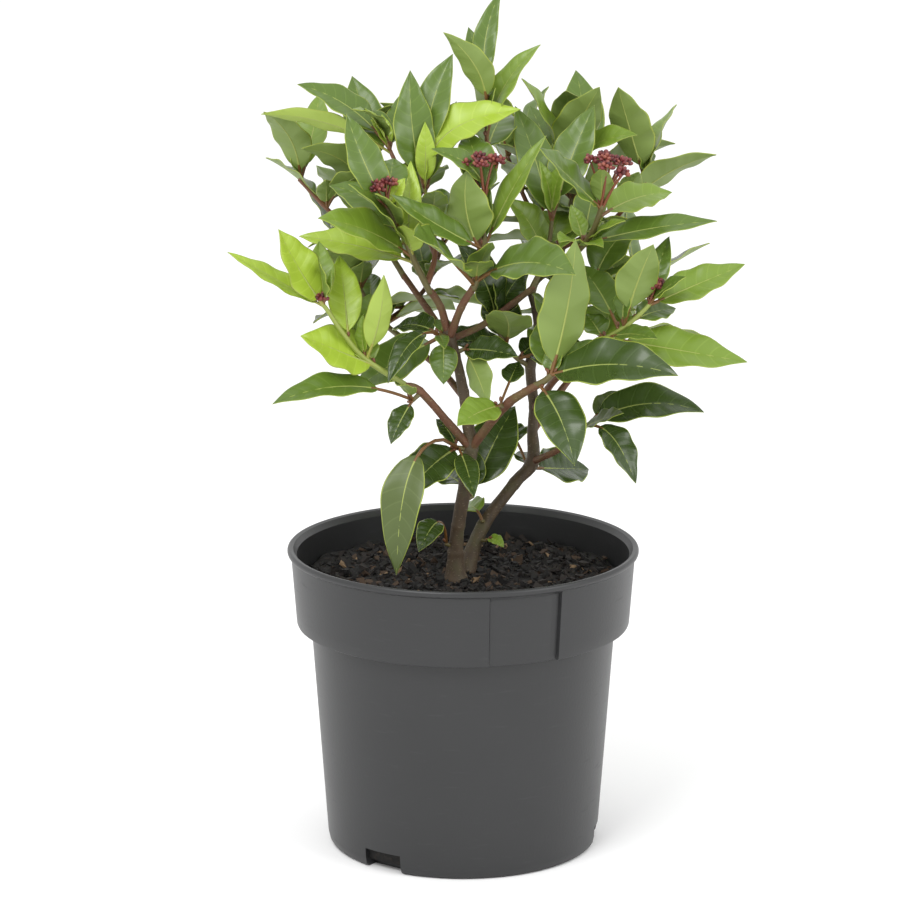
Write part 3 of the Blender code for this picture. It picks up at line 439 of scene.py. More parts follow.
def makeChips():
    # Each chip is a block with knobbly corners, tilted, spun round Z and strewn on the potting mix
    draw = np.random.default_rng(7)
    count = soil["chips"]
    r = np.sqrt(draw.uniform(0, 1, count)) * (soil["radius"] - soil["chipRoom"])
    a = draw.uniform(0, 2 * math.pi, count)
    low, high = soil["chipSize"]
    length = low + (high - low) * draw.uniform(0, 1, count) ** 3
    shares = [np.ones(count), draw.uniform(0.45, 0.9, count), draw.uniform(0.2, 0.5, count)]
    half = length[:, None] * np.stack(shares, 1) / 2
    corners = np.array([(x, y, z) for z in (-1, 1) for x, y in ((-1, -1), (1, -1), (1, 1), (-1, 1))])
    x, y, z = np.moveaxis(corners * half[:, None] * draw.uniform(0.55, 1.1, (count, 8, 3)), 2, 0)
    tilt, spin = draw.normal(0, 0.45, (count, 2)), draw.uniform(0, 2 * math.pi, count)[:, None]
    z = z + (x * tilt[:, :1] + y * tilt[:, 1:])
    turned = np.stack([x * np.cos(spin) - y * np.sin(spin), x * np.sin(spin) + y * np.cos(spin), z], -1)
    cx, cy = r * np.cos(a), r * np.sin(a)
    seat = soilHeight(cx, cy) + half[:, 2] * draw.uniform(0.1, 0.9, count)
    turned += np.stack([cx, cy, seat], 1)[:, None]
    block = np.array([(3, 2, 1, 0), (4, 5, 6, 7), (0, 1, 5, 4), (1, 2, 6, 5), (2, 3, 7, 6), (3, 0, 4, 7)])
    faces = (block + np.arange(count)[:, None, None] * len(corners)).reshape(-1, 4)
    kinds = np.array(list(chipColours))[draw.choice(len(chipColours), count, p=soil["chipShares"])]
    heap = Pile(plainLooks(chipColours))
    heap.add(turned.reshape(-1, 3), faces, np.repeat(kinds, len(block)))
    finish(heap.build("barkChips", smooth=False), "soil")
    print("bark chips", count)


# The woody limbs

# Each woody limb: the points that it passes through and its radius at each of them.
stems = {
    "stem_front": {
        "path": [(-3, -4, 106), (-3, -4, 120), (-2, -4, 131), (1, -5, 149), (3, -6, 163), (2, -6, 172),
                 (0, -5, 186), (-3, -3, 200), (-6, -2, 210)],
        "radii": [4.1, 3.0, 2.7, 2.6, 2.9, 2.3, 2.1, 1.9, 2.1],
    },
    "stem_back": {
        "path": [(0, 7, 107), (8, 14, 126), (21, 22, 142), (28, 25, 150), (28, 24, 164), (28.5, 24, 173),
                 (27, 22, 191), (30, 22, 201), (29, 20, 213), (27, 18, 221)],
        "radii": [3.6, 2.6, 2.4, 2.8, 2.1, 2.0, 2.2, 1.7, 1.6, 1.5],
    },
}
boughs = {
    "bough_left": {"path": [(3, -6, 163), (-6, -12, 175), (-17, -18, 189), (-23, -21, 192)],
                   "radii": [1.9, 1.5, 1.6, 1.3]},
    "bough_right": {"path": [(3, -6, 163), (12, -14, 177), (18, -20, 185), (24, -24, 190), (29, -27, 193.5)],
                    "radii": [2.0, 1.7, 1.8, 1.5, 1.5]},
    "bough_top_left": {"path": [(-6, -2, 209), (-9, -5, 220), (-13, -8, 227)],
                       "radii": [1.6, 1.5, 1.4]},
    "bough_top_right": {"path": [(-5, -3, 208), (-1, -8, 220), (4, -11, 229)],
                        "radii": [1.6, 1.5, 1.4]},
    "bough_middle": {"path": [(-5, -1, 206), (7, 6, 210), (19, 9, 218), (28, 10, 225)],
                     "radii": [1.4, 1.3, 1.3, 1.2]},
    "bough_far_right": {"path": [(28.5, 24, 172), (37, 6, 189), (47, -6, 201)],
                        "radii": [1.6, 1.4, 1.3]},
    "bough_low_right": {"path": [(28, 25, 150), (34, 16, 155), (40, 12, 159)],
                        "radii": [1.5, 1.3, 1.2]},
    "bough_back_left": {"path": [(-4, -2, 203), (-14, 14, 215), (-24, 30, 226)],
                        "radii": [1.5, 1.3, 1.2]},
    "bough_back": {"path": [(30, 22, 200), (34, 35, 212), (38, 46, 223)],
                   "radii": [1.5, 1.3, 1.2]},
    "bough_low_back": {"path": [(28, 24, 163), (40, 38, 177), (52, 50, 189)],
                       "radii": [1.6, 1.4, 1.3]},
    "bough_low_left": {"path": [(0, -5, 184), (-10, 12, 192), (-24, 32, 199)],
                       "radii": [1.5, 1.3, 1.2]},
}
bark = {
    "sides": 28, "steps": 16, "relief": 0.05, "waves": (2, 3, 5, 8), "drift": 0.7, "grain": 0.012,
    "scar": 0.09, "scarWidth": 1.1, "flare": 0.28, "flareHeight": 3.2, "sunk": 2.2,
}
barkColours = {
    "stem": {"name": "bark", "base": (0.1, 0.065, 0.032), "dark": (0.035, 0.022, 0.012),
             "moss": (0.075, 0.07, 0.025), "pore": (0.2, 0.16, 0.1)},
    "bough": {"name": "youngBark", "base": (0.17, 0.075, 0.035), "dark": (0.075, 0.028, 0.014),
              "moss": (0.12, 0.1, 0.03), "pore": (0.25, 0.17, 0.09)},
}


def barkLook(name, base, dark, moss, pore):
    look = Look(name, base, 0.7)
    grain = look.noise(look.place((1, 1, 0.35)), 520.0, 4.0)
    patch = look.steps(look.noise(look.place(), 95.0, 3.0), 0.5, 0.68)
    pores = look.steps(look.noise(look.place((1, 1, 2.2)), 900.0, 1.0), 0.66, 0.7)
    mossy = look.mix(patch * 0.7, look.mix(grain, dark, base), moss)
    look.feed("Base Color", look.mix(pores * 0.65, mossy, pore))
    look.feed("Roughness", grain * 0.2 + 0.55)
    look.bump(grain + pores * 0.5, 0.0003, 0.8)
    return look.material


def barkRelief(seed, place, knots):
    # Waves round the limb that drift along it, fine grain, and a ring scar at each point of its path
    draw = np.random.default_rng(seed)
    along = np.arange(len(place))[:, None] * bark["drift"]
    turn = np.linspace(0, 2 * math.pi, bark["sides"], endpoint=False)[None, :]
    waves = sum(np.sin(k * turn + draw.uniform(0, 6.3) + along * draw.uniform(0.1, 0.9)) / k
                for k in bark["waves"])
    waves = waves * bark["relief"] + draw.normal(0, bark["grain"], (len(place), bark["sides"]))
    away = (place[:, None] - knots[None, 1:-1]) * len(place) / bark["scarWidth"]
    return waves + bark["scar"] * np.exp(-away ** 2).sum(1)[:, None]


def makeLimbs():
    # Each limb is a tube along its path with relief in its radius, and a stem widens into the potting mix
    looks = {kind: barkLook(**colours) for kind, colours in barkColours.items()}
    for name, limb in {**stems, **boughs}.items():
        path = smoothPath(limb["path"], bark["steps"])
        knots, place = np.linspace(0, 1, len(limb["radii"])), np.linspace(0, 1, len(path))
        radii = np.interp(place, knots, limb["radii"])
        relief = barkRelief(len(name) * 7 + 3, place, knots)
        if name in stems:
            above = path[:, 2] - soil["top"]
            radii = radii * (1 + bark["flare"] * np.exp(-np.maximum(above, 0) / bark["flareHeight"]))
            keep = above > -bark["sunk"]
            path, radii, relief = path[keep], radii[keep], relief[keep]
        kind, slot = ("stem", "bark") if name in stems else ("bough", "young_bark")
        pile = Pile({kind: looks[kind]})
        pile.add(*tubeMesh(path, radii, bark["sides"], relief), kind)
        finish(pile.build(name + "Bark"), slot, [name])
    print("limbs", len(stems) + len(boughs))


# The leaves. Places of the veins are shares of a blade's length, margin and grooveWidth of its half width.

leaf = {
    "thickness": 0.34, "fold": 0.22, "widthGain": 1.13, "margin": 0.055, "ripple": 0.1,
    "veins": 7, "veinsEnd": 0.93, "veinWidth": 0.013, "veinSlant": 0.117, "quilt": 0.624,
    "groove": 0.25, "grooveWidth": 0.12, "stalkRadius": 0.72, "ribDepth": 0.05,
}

# A young leaf in the axil of a leaf longer than this: its turn and rise from that leaf, its share of its
# length and width, and the rest of its row
axilLeaf = {"from": 26, "turn": 48, "rise": 18, "length": 0.5, "width": 0.55, "rest": (0.06, 0.6, 0.16, 0)}

# Plain base colours and roughness of the leaf parts, dealt out by leaf
leafColours = {
    "lime": ((0.3, 0.42, 0.035), 0.36), "limeVein": ((0.34, 0.46, 0.05), 0.38),
    "fresh": ((0.15, 0.235, 0.022), 0.34), "freshVein": ((0.175, 0.265, 0.03), 0.36),
    "mid": ((0.085, 0.145, 0.016), 0.31), "midVein": ((0.103, 0.17, 0.022), 0.33),
    "dark": ((0.034, 0.062, 0.009), 0.27), "darkVein": ((0.042, 0.074, 0.012), 0.29),
    "old": ((0.07, 0.1, 0.02), 0.42), "oldVein": ((0.085, 0.118, 0.028), 0.44),
    "under": ((0.17, 0.24, 0.05), 0.5), "underLime": ((0.3, 0.4, 0.06), 0.5),
    "rib": ((0.28, 0.33, 0.075), 0.42), "margin": ((0.26, 0.32, 0.04), 0.4),
    "petiole": ((0.16, 0.075, 0.02), 0.42), "youngPetiole": ((0.3, 0.3, 0.06), 0.42),
}


def bladeRows():
    # Places of the rows across a blade, what starts at each, and how far it is on from vein to vein
    count, half = leaf["veins"], leaf["veinWidth"] / 2
    veins = [(k + 0.6) / (count + 0.6) * leaf["veinsEnd"] for k in range(count)]
    rows, bands = [0.004, 0.03], ["", ""]
    for vein, following in zip(veins, veins[1:] + [0.985]):
        gap = following - vein
        rows += [vein - half, vein + half, vein + gap * 0.36, vein + gap * 0.68]
        bands += ["Vein", "", "", ""]
    rows = np.array(rows + [0.993])
    return rows, bands, np.interp(rows, [0, *veins, 1], np.arange(count + 2)) % 1


def bladeMesh(root, row, sun, width, tone, seed):
    # Point = midrib + side * s * half width + top * height, where s runs from -1 to 1 over the face and
    # back underneath. Height = fold + swell between veins + ripple at the margin - groove of the midrib,
    # half the thickness up for the face and down for the underside
    draw = random.Random(seed)
    stalk = row[7]
    rows, bands, between = bladeRows()
    edge = 1 - leaf["margin"]
    upper = np.array([-1, -edge, -0.66, -0.36, -0.1, 0.1, 0.36, 0.66, edge, 1])
    lower = np.array([edge, 0.6, 0.1, -0.1, -0.6, -edge])
    s = np.concatenate([upper, lower])
    lift = np.concatenate([np.abs(upper) < 1, -np.ones(len(lower))])
    w = rows[:, None]
    v = np.clip(w + leaf["veinSlant"] * np.abs(s) ** 1.3 * 4 * w * (1 - w), 0.002, 0.995)
    reach = halfWidth(v, width)
    phase, waves = draw.uniform(0, 6.3), draw.uniform(2.2, 3.6)
    fold = leaf["fold"] * np.abs(s) ** 1.2 * reach
    swell = leaf["quilt"] * np.sin(math.pi * between)[:, None] * np.abs(s) * (1 - s ** 2)
    ripple = leaf["ripple"] * reach * s ** 2 * np.sin(waves * 2 * math.pi * v + phase + (s > 0) * 1.9)
    groove = leaf["groove"] * np.exp(-(s / leaf["grooveWidth"]) ** 2)
    height = fold + swell + ripple - groove + lift * leaf["thickness"] / 2
    middle, side, top = leafLine((stalk + (1 - stalk) * v).ravel(), row, sun)
    points = root + middle + side * (s * reach).ravel()[:, None] + top * height.ravel()[:, None]
    names = np.empty((len(rows) - 1, len(s)), object)
    names[:] = [[tone + band] for band in bands]
    names[:, [0, len(upper) - 2, len(upper) - 1, -1]] = "margin"
    names[:, len(upper):-1] = "underLime" if tone == "lime" else "under"
    return points, gridFaces(len(rows), len(s)), names.ravel()


def ribMesh(root, row, sun, width, tone):
    # A tube along the stalk and the midrib that thins to the tip, sunk a little into the blade
    stalk, sides, stalkRings = row[7], 6, 6
    places = np.concatenate([np.linspace(0, stalk, stalkRings), np.linspace(stalk, 1, 15)[1:]])
    middle, _, top = leafLine(places, row, sun)
    t = np.clip((places - stalk) / (1 - stalk), 0, 1)
    radii = leaf["stalkRadius"] * (width / 16) ** 0.4 * np.interp(t, (0, 0.12, 1), (1, 0.62, 0.2))
    line = root + middle - top * (leaf["ribDepth"] * np.minimum(t * 20, 1))[:, None]
    points, faces = tubeMesh(line, radii, sides)
    onRib = np.arange(len(faces)) // sides > stalkRings
    return points, faces, np.where(onRib, "rib", "youngPetiole" if tone == "lime" else "petiole")


def leafParts(root, row, sun, tone, seed):
    width = row[4] * leaf["widthGain"]
    return bladeMesh(root, row, sun, width, tone, seed), ribMesh(root, row, sun, width, tone)


# The buds: clumps of them end the rays of each head, and a single one sits in the axil of each leaf.

bud = {
    "perClump": 15, "radius": 0.78, "length": 2.3, "sizes": (0.8, 1.15), "cover": 1.45, "lean": 0.35,
    "seat": 0.42, "ray": (0.62, 0.42), "rayArch": 0.6, "dome": 0.22,
    "axilOut": 1.6, "axilRise": (40, 50), "axilSize": (2.2, 0.62),
}
budColours = {
    "budDark": ((0.075, 0.012, 0.014), 0.5), "bud": ((0.16, 0.026, 0.026), 0.48),
    "budPale": ((0.27, 0.075, 0.05), 0.48), "ray": ((0.2, 0.06, 0.03), 0.45),
}


def budMesh(centre, axis, length, radius):
    # An egg on its axis: radius * sin(t) ^ 0.8 across, length * (1 - cos(t)) / 2 along
    t = np.linspace(0.12, math.pi - 0.12, 6)
    path = centre + np.outer((1 - np.cos(t)) / 2 * length, unit(axis))
    return tubeMesh(path, radius * np.sin(t) ** 0.8, 7)


def headOfBuds(tip, axis, count, height, spread):
    # Ends of the rays, on a low dome over the tip: out = spread * sqrt(share), by the golden angle
    axis = unit(axis + np.array([0, 0, 1.2]))
    side = unit(np.cross(axis, [0, 1, 0.01]))
    other = np.cross(axis, side)
    ends = []
    for k in range(count):
        angle = goldenAngle * k + 0.4
        out = spread * math.sqrt((k + 0.5) / count)
        rise = height * (1 - bud["dome"] * (out / max(spread, 1)) ** 2)
        ends.append(tip + axis * rise + side * out * math.cos(angle) + other * out * math.sin(angle))
    return ends


def growBuds(path, buds, pile, seed):
    # Rays spread from the twig's tip, each with a knob of small egg-shaped buds round its end
    draw = random.Random(seed)
    count, height, spread, clump = buds
    tip = path[-1]
    for end in headOfBuds(tip, unit(tip - path[-3]), count, height, spread):
        bend = (tip + end) / 2 + [0, 0, bud["rayArch"]]
        ray = smoothPath([tip - (tip - path[-2]) * 0.5, bend, end], 5)
        pile.add(*tubeMesh(ray, np.linspace(*bud["ray"], len(ray)), 6), "ray")
        axis = unit(end - tip)
        for k in range(bud["perClump"]):
            level = 1 - bud["cover"] * (k + 0.5) / bud["perClump"]
            angle = goldenAngle * k + draw.uniform(0, 0.6)
            across = math.sqrt(max(0, 1 - level * level))
            around = np.array([across * math.cos(angle), across * math.sin(angle), level])
            out = unit(around + axis * bud["lean"])
            size = draw.uniform(*bud["sizes"])
            egg = budMesh(end + out * clump * bud["seat"], out, bud["length"] * size, bud["radius"] * size)
            pile.add(*egg, draw.choice(("budDark", "bud", "bud", "budPale")))


# The masses of foliage

# A leaf row holds: place along its twig, bearing, rise, length, width, arch, how far it turns its face
# to the light, its stalk's share, and sideways bow. A rule holds seed, pairs, length, width and first
# bearing, buds hold count, height, spread and size of a clump, and sun is the bearing of the light.
masses = {
    "leaves_left": {"twigs": [
        {"path": [(-12.9, -8, 226), (-18, -12, 237), (-22, -16, 247), (-28, -18, 259), (-30, -18, 262)],
         "radii": (1.35, 0.9), "buds": (6, 9.0, 5.5, 2.3), "leaves": [
            (0.42, 210, 25, 46, 18, 0.06, 0.8, 0.12, 0),
            (0.46, 220, 45, 44, 11, 0.06, 0.5, 0.1, 0),
            (0.68, 180, 20, 43, 14, 0.1, 0.8, 0.1, 0),
            (0.36, 165, 10, 48, 15, 0.03, 0.6, 0.12, 0),
            (0.72, 210, 35, 26, 9, 0.1, 0.4, 0.1, 0),
            (0.97, 160, 65, 40, 14, 0.08, 0.9, 0.1, -0.12),
            (0.97, 85, 35, 28, 13, 0.1, 0.3, 0.15, 0),
            (0.55, 85, 70, 34, 9, 0.04, 0.5, 0.12, 0)]},
        {"path": [(-14, -9, 230), (-11, 0, 242), (-15, 6, 264)], "radii": (1.3, 0.8), "leaves": [
            (0.99, 135, 80, 48, 15, 0.05, 0.9, 0.16, -0.08),
            (1.0, 50, 80, 55, 13.5, 0.06, 0.8, 0.3, -0.04),
            (0.97, 0, 50, 50, 17, 0.24, 0.8, 0.22, 0),
            (0.98, 35, 75, 38, 8, 0.02, 0.3, 0.15, 0),
            (0.6, 265, 40, 30, 10, 0.08, 0.3, 0.15, 0),
            (0.45, 85, 30, 34, 13, 0.1, 0.6, 0.2, 0)]},
        {"path": [(-11, 0, 240), (-19, 18, 256), (-29, 26, 277)], "radii": (1.2, 0.8), "leaves": [
            (1.0, 175, 35, 45, 13, 0.1, 0.7, 0.2, 0),
            (0.97, 180, 25, 54, 9, 0.08, -0.5, 0.25, 0),
            (0.99, 230, 40, 30, 9, 0.16, 0.2, 0.2, 0),
            (1.0, 140, 45, 24, 12, 0.1, 0.6, 0.1, 0),
            (1.0, 80, 45, 30, 8, 0.05, 0.3, 0.1, 0)]},
    ]},
    "leaves_centre": {"twigs": [
        {"path": [(3.8, -10.9, 228), (6, -13, 235), (8, -13, 245), (8, -12, 258), (8, -12, 265)],
         "radii": (1.35, 0.9), "buds": (6, 15.0, 7.5, 2.4), "leaves": [
            (0.05, 240, 30, 54, 23, 0.04, 0.9, 0.28, 0),
            (0.4, 180, 80, 34, 19, -0.1, -0.8, 0.16, 0),
            (0.1, 320, 10, 50, 21, 0.12, 0.8, 0.18, 0),
            (0.45, 180, 40, 44, 12, -0.02, 0.8, 0.12, 0),
            (0.46, 15, 60, 50, 10, 0.03, 0.4, 0.12, 0),
            (0.95, 180, 45, 29, 9, 0.2, 0.6, 0.2, 0),
            (1.0, 125, 55, 30, 14, 0.1, 0.8, 0.1, 0)]},
        {"path": [(6, -13, 235), (7, 4, 253), (9, 12, 275), (9, 12, 303)], "radii": (1.2, 0.75), "leaves": [
            (0.93, 215, 55, 36, 11, -0.02, -0.7, 0.1, 0.14),
            (0.97, 110, 50, 32, 9, 0.03, 0.7, 0.1, 0),
            (1.0, 65, 62, 40, 8.5, -0.04, 0.7, 0.12, -0.1),
            (0.74, 10, 60, 43, 12, 0.1, 0.4, 0.14, 0),
            (0.68, 75, 20, 34, 15, 0.06, 0.8, 0.1, 0)]},
    ]},
    "leaves_upper_right": {"twigs": [
        {"path": [(27, 9.9, 224), (33, 12, 237), (35, 12, 251)], "radii": (1.2, 0.8), "leaves": [
            (0.98, 125, 60, 50, 15, 0.04, 0.6, 0.1, 0),
            (0.4, 190, 60, 30, 15, 0.1, 0.8, 0.12, 0),
            (1.0, 55, 60, 50, 15, 0.04, 0.8, 0.2, 0),
            (0.6, 75, 20, 30, 14, 0.1, 0.6, 0.1, 0)]},
        {"path": [(33, 12, 237), (36, 36, 251), (40, 44, 267)], "radii": (1.1, 0.8), "leaves": [
            (1.0, 220, 60, 44, 15, 0.05, 0.6, 0.1, 0),
            (0.98, 320, 70, 40, 17, 0.04, -0.8, 0.12, 0),
            (0.9, 325, 30, 42, 14, 0.12, 0.7, 0.15, 0),
            (0.8, 115, 50, 40, 14, 0.08, 0.6, 0.1, 0)]},
    ]},
    "leaves_right": {"twigs": [
        {"path": [(27.2, 18.2, 220), (30, 16, 227), (40, 4, 236), (49, -8, 248), (54, -14, 262)],
         "radii": (1.4, 1.1), "buds": (8, 19.0, 9.0, 2.6), "leaves": [
            (0.97, 220, 40, 42, 15, -0.03, 0.9, 0.06, -0.06),
            (0.9, 35, 10, 37, 14, 0.07, 0.8, 0.14, 0),
            (0.66, 0, 10, 53, 12, 0.03, 0.5, 0.12, 0),
            (0.62, 295, 10, 20, 7, 0.1, 0.5, 0.1, 0),
            (0.66, 75, 40, 34, 12, 0.08, 0.6, 0.15, 0),
            (0.62, 245, 15, 22, 9, 0.1, 0.5, 0.2, 0)]},
    ]},
    "leaves_far_right": {"twigs": [
        {"path": [(46, -5, 200), (55, -11, 208), (62, -14, 213), (69, -14, 219), (73, -13, 223)],
         "radii": (1.2, 0.8), "buds": (4, 8.0, 2.5, 1.9), "leaves": [
            (0.62, 310, 65, 39, 15, 0.03, -0.9, 0.22, 0),
            (0.97, 60, 55, 30, 9, 0.05, 0.8, 0.1, 0),
            (0.97, 15, 20, 42, 14, 0, 0.8, 0.1, 0),
            (0.72, 40, 5, 24, 11, 0.05, 0.7, 0.15, 0),
            (0.35, 80, 20, 28, 19, 0.04, 0.9, 0.1, 0),
            (0.56, 115, 30, 40, 14, 0.06, 0.8, 0.2, 0),
            (0.4, 0, -10, 56, 17, 0, 0.9, 0.14, 0)]},
    ]},
    "leaves_middle_right": {"twigs": [
        {"path": [(28, -26.4, 193), (31.5, -29, 195.5), (34, -30, 198)], "radii": (1.4, 1.2), "leaves": [
            (1.0, 335, 5, 53, 21, 0.08, 0.9, 0.03, 0),
            (0.95, 345, 80, 55, 19, -0.03, -0.9, 0.1, 0),
            (0.8, 90, 45, 28, 13, 0.1, 0.6, 0.15, 0),
            (0.2, 300, -45, 38, 17, 0.1, 0.7, 0.12, 0)]},
    ]},
    "leaves_low_right": {"twigs": [
        {"path": [(39, 12.6, 158.3), (45, 8, 166), (51, 6, 171)], "radii": (1.1, 0.8), "leaves": [
            (1.0, 0, 5, 45, 17, 0.12, 0.7, 0.06, 0),
            (0.6, 310, 25, 30, 10, 0.03, 0.7, 0.2, 0),
            (0.4, 325, -25, 34, 12, 0.34, 0.4, 0.28, 0)]},
    ]},
    "leaves_lime": {"twigs": [
        {"path": [(-22, -20.6, 191.6), (-38, -24, 203), (-46, -27, 213), (-53, -29, 224), (-55, -29, 226)],
         "radii": (1.2, 0.75), "buds": (2, 2.0, 1.0, 1.5), "leaves": [
            (0.97, 200, 60, 36, 17, -0.03, 0.9, 0.1, 0),
            (0.96, 180, 30, 43, 9, 0, 0.5, 0.08, 0),
            (0.99, 95, 50, 28, 10, 0.04, 0.5, 0.1, 0),
            (0.62, 100, 50, 38, 12, 0.06, 0.6, 0.1, 0),
            (0.4, 320, 75, 36, 10, -0.06, -0.6, 0.15, 0),
            (0.42, 85, 40, 32, 16, 0.06, 0.8, 0.15, 0),
            (0.3, 200, 25, 34, 20, 0, 0.9, 0.08, 0)]},
    ]},
    "leaves_left_low": {"twigs": [
        {"path": [(-17, -18, 188), (-20, -20, 185.5)], "radii": (1.0, 0.8), "leaves": [
            (0.9, 210, 5, 62, 13, 0.1, 0.5, 0.26, 0),
            (0.9, 235, -45, 21, 8.5, 0.05, 0.6, 0.12, 0)]},
    ]},
    "leaves_fork_left": {"twigs": [
        {"path": [(3, -6, 162.5), (-3, -8.5, 164)], "radii": (1.2, 1.0), "leaves": [
            (0.8, 235, -45, 60, 15, 0.36, 0.5, 0.3, 0),
            (0.9, 220, -30, 30, 17, 0.06, 0.9, 0.06, 0),
            (0.9, 130, 35, 16, 7, 0.1, 0.5, 0.1, 0)]},
    ]},
    "leaves_fork_right": {"twigs": [
        {"path": [(16, -18, 183), (14, -22, 184)], "radii": (1.1, 0.9), "leaves": [
            (0.9, 225, -10, 24, 13, 0.05, 0.9, 0.05, 0),
            (0.9, 70, 30, 26, 8, 0.02, 0.5, 0.5, 0)]},
    ]},
    "leaves_low_front": {"twigs": [
        {"path": [(0, -4.5, 141), (4, -1.5, 142.5)], "radii": (1.0, 0.8), "leaves": [
            (0.9, 50, 50, 42, 19, 0.05, 0.9, 0.12, 0),
            (0.9, 120, 5, 30, 13, 0.1, 0.8, 0.3, 0)]},
    ]},
    "leaves_foot": {"twigs": [
        {"path": [(-3, -4, 122), (-7, -6, 124)], "radii": (0.9, 0.7), "leaves": [
            (0.9, 240, 5, 22, 9, 0.45, 0.6, 0.35, 0)]},
    ]},
    "leaves_foot_back": {"twigs": [
        {"path": [(9, 14.5, 127.5), (7.5, 11, 129)], "radii": (0.9, 0.7), "leaves": [
            (0.6, 50, 35, 21, 12, 0.05, 0.9, 0.1, 0),
            (0.9, 120, 5, 18, 11, 0.2, 0.6, 0.2, 0)]},
    ]},
    "leaves_sprout": {"twigs": [
        {"path": [(5.5, 12, 121), (9.5, 8.5, 121.5)], "radii": (0.8, 0.6), "leaves": [
            (0.9, 325, -10, 9, 5, 0.2, 0.5, 0.1, 0),
            (0.9, 90, 25, 8, 4, 0.2, 0.5, 0.1, 0)]},
    ]},
    "leaves_upper_front": {"twigs": [
        {"path": [(-5.5, -2, 207), (-10, -6, 209)], "radii": (1.1, 0.9), "leaves": [
            (0.9, 230, -25, 34, 9, 0.2, 0.3, 0.2, 0),
            (0.6, 190, -30, 40, 18, 0.02, 0.9, 0.14, 0),
            (0.8, 130, -5, 30, 12, 0.1, 0.6, 0.15, 0),
            (0.5, 270, -60, 20, 10, 0.1, 0.6, 0.2, 0)]},
    ]},
    "leaves_middle": {"twigs": [
        {"path": [(-3, -3, 201), (1.5, -2.5, 203)], "radii": (1.0, 0.8), "leaves": [
            (0.6, 330, 0, 25, 12, 0.04, 0.9, 0.04, 0),
            (0.8, 295, -40, 28, 11, 0.04, -0.8, 0.15, 0)]},
    ]},
    "leaves_node": {"twigs": [
        {"path": [(28, 25, 148), (26, 31, 146)], "radii": (1.1, 0.9), "leaves": [
            (0.9, 40, -10, 34, 19, 0, 0.8, 0.2, 0),
            (0.9, 115, 30, 26, 12, 0.1, 0.5, 0.5, 0)]},
    ]},
    # The far side follows the rule alone: pairs of leaves, each pair turned a quarter from the last.
    "leaves_back_left": {"sun": 120, "twigs": [
        {"path": [(-23.4, 29, 225), (-33, 42, 240), (-38, 50, 262)], "radii": (1.25, 0.8),
         "rule": (11, 4, 46, 17, 30)},
        {"path": [(-31, 40, 236), (-50, 44, 246), (-66, 46, 262)], "radii": (1.1, 0.8),
         "rule": (12, 3, 42, 15, 75)},
        {"path": [(-31, 40, 236), (-22, 56, 246), (-12, 64, 262)], "radii": (1.1, 0.8),
         "rule": (13, 3, 42, 15, 10)},
    ]},
    "leaves_back": {"sun": 80, "twigs": [
        {"path": [(37.7, 45, 222), (42, 56, 238), (46, 64, 262)], "radii": (1.25, 0.8),
         "rule": (21, 4, 46, 17, 0)},
        {"path": [(41, 53, 233), (60, 50, 244), (74, 46, 262)], "radii": (1.1, 0.8),
         "rule": (22, 3, 44, 16, 60)},
        {"path": [(41, 53, 233), (28, 64, 246), (18, 70, 268)], "radii": (1.1, 0.8),
         "rule": (23, 3, 44, 16, 35)},
    ]},
    "leaves_low_back": {"sun": 60, "twigs": [
        {"path": [(51, 49, 188), (62, 56, 200), (70, 58, 220)], "radii": (1.25, 0.8),
         "rule": (31, 4, 46, 18, 20)},
        {"path": [(58, 54, 195), (44, 68, 204), (34, 76, 220)], "radii": (1.1, 0.8),
         "rule": (32, 3, 42, 16, 50)},
    ]},
    "leaves_low_back_left": {"sun": 130, "twigs": [
        {"path": [(-23, 30.6, 198.6), (-36, 42, 208), (-46, 48, 226)], "radii": (1.25, 0.8),
         "rule": (41, 4, 46, 18, 45)},
        {"path": [(-32, 39, 204), (-16, 58, 214), (-8, 66, 232)], "radii": (1.1, 0.8),
         "rule": (42, 3, 42, 16, 15)},
    ]},
    "leaves_inner": {"sun": 270, "twigs": [
        {"path": [(27, 22, 190), (20, 17, 196), (13, 12, 208)], "radii": (1.1, 0.8),
         "rule": (51, 3, 36, 16, 0)},
    ]},
    "leaves_inner_right": {"sun": 330, "twigs": [
        {"path": [(29.5, 21, 207), (40, 22, 213), (52, 20, 224)], "radii": (1.1, 0.8),
         "rule": (61, 3, 40, 16, 40)},
    ]},
}

# Leaf tones of each mass, from the lit young shoots to the old shaded leaves
tones = {
    "leaves_left": ("fresh", "mid", "mid", "lime"), "leaves_centre": ("mid", "fresh", "mid"),
    "leaves_upper_right": ("mid", "fresh"), "leaves_right": ("mid", "fresh"),
    "leaves_far_right": ("fresh", "mid"), "leaves_middle_right": ("dark", "fresh", "mid"),
    "leaves_low_right": ("dark", "old"), "leaves_lime": ("lime", "lime", "fresh"),
    "leaves_left_low": ("mid", "dark"), "leaves_fork_left": ("old", "dark", "dark"),
    "leaves_fork_right": ("fresh", "dark"), "leaves_low_front": ("dark",), "leaves_foot": ("dark",),
    "leaves_foot_back": ("dark", "fresh"), "leaves_sprout": ("fresh",),
    "leaves_upper_front": ("dark", "mid"), "leaves_middle": ("dark", "mid"),
    "leaves_node": ("dark",), "leaves_inner": ("dark",), "leaves_inner_right": ("dark", "mid"),
}
backTones = ("mid", "dark", "fresh", "mid")
greenTwigs = ("leaves_lime", "leaves_far_right")
stemColours = {
    "twig": ((0.115, 0.095, 0.03), 0.5), "greenTwig": ((0.24, 0.29, 0.055), 0.45),
    "redTwig": ((0.14, 0.055, 0.022), 0.48),
}


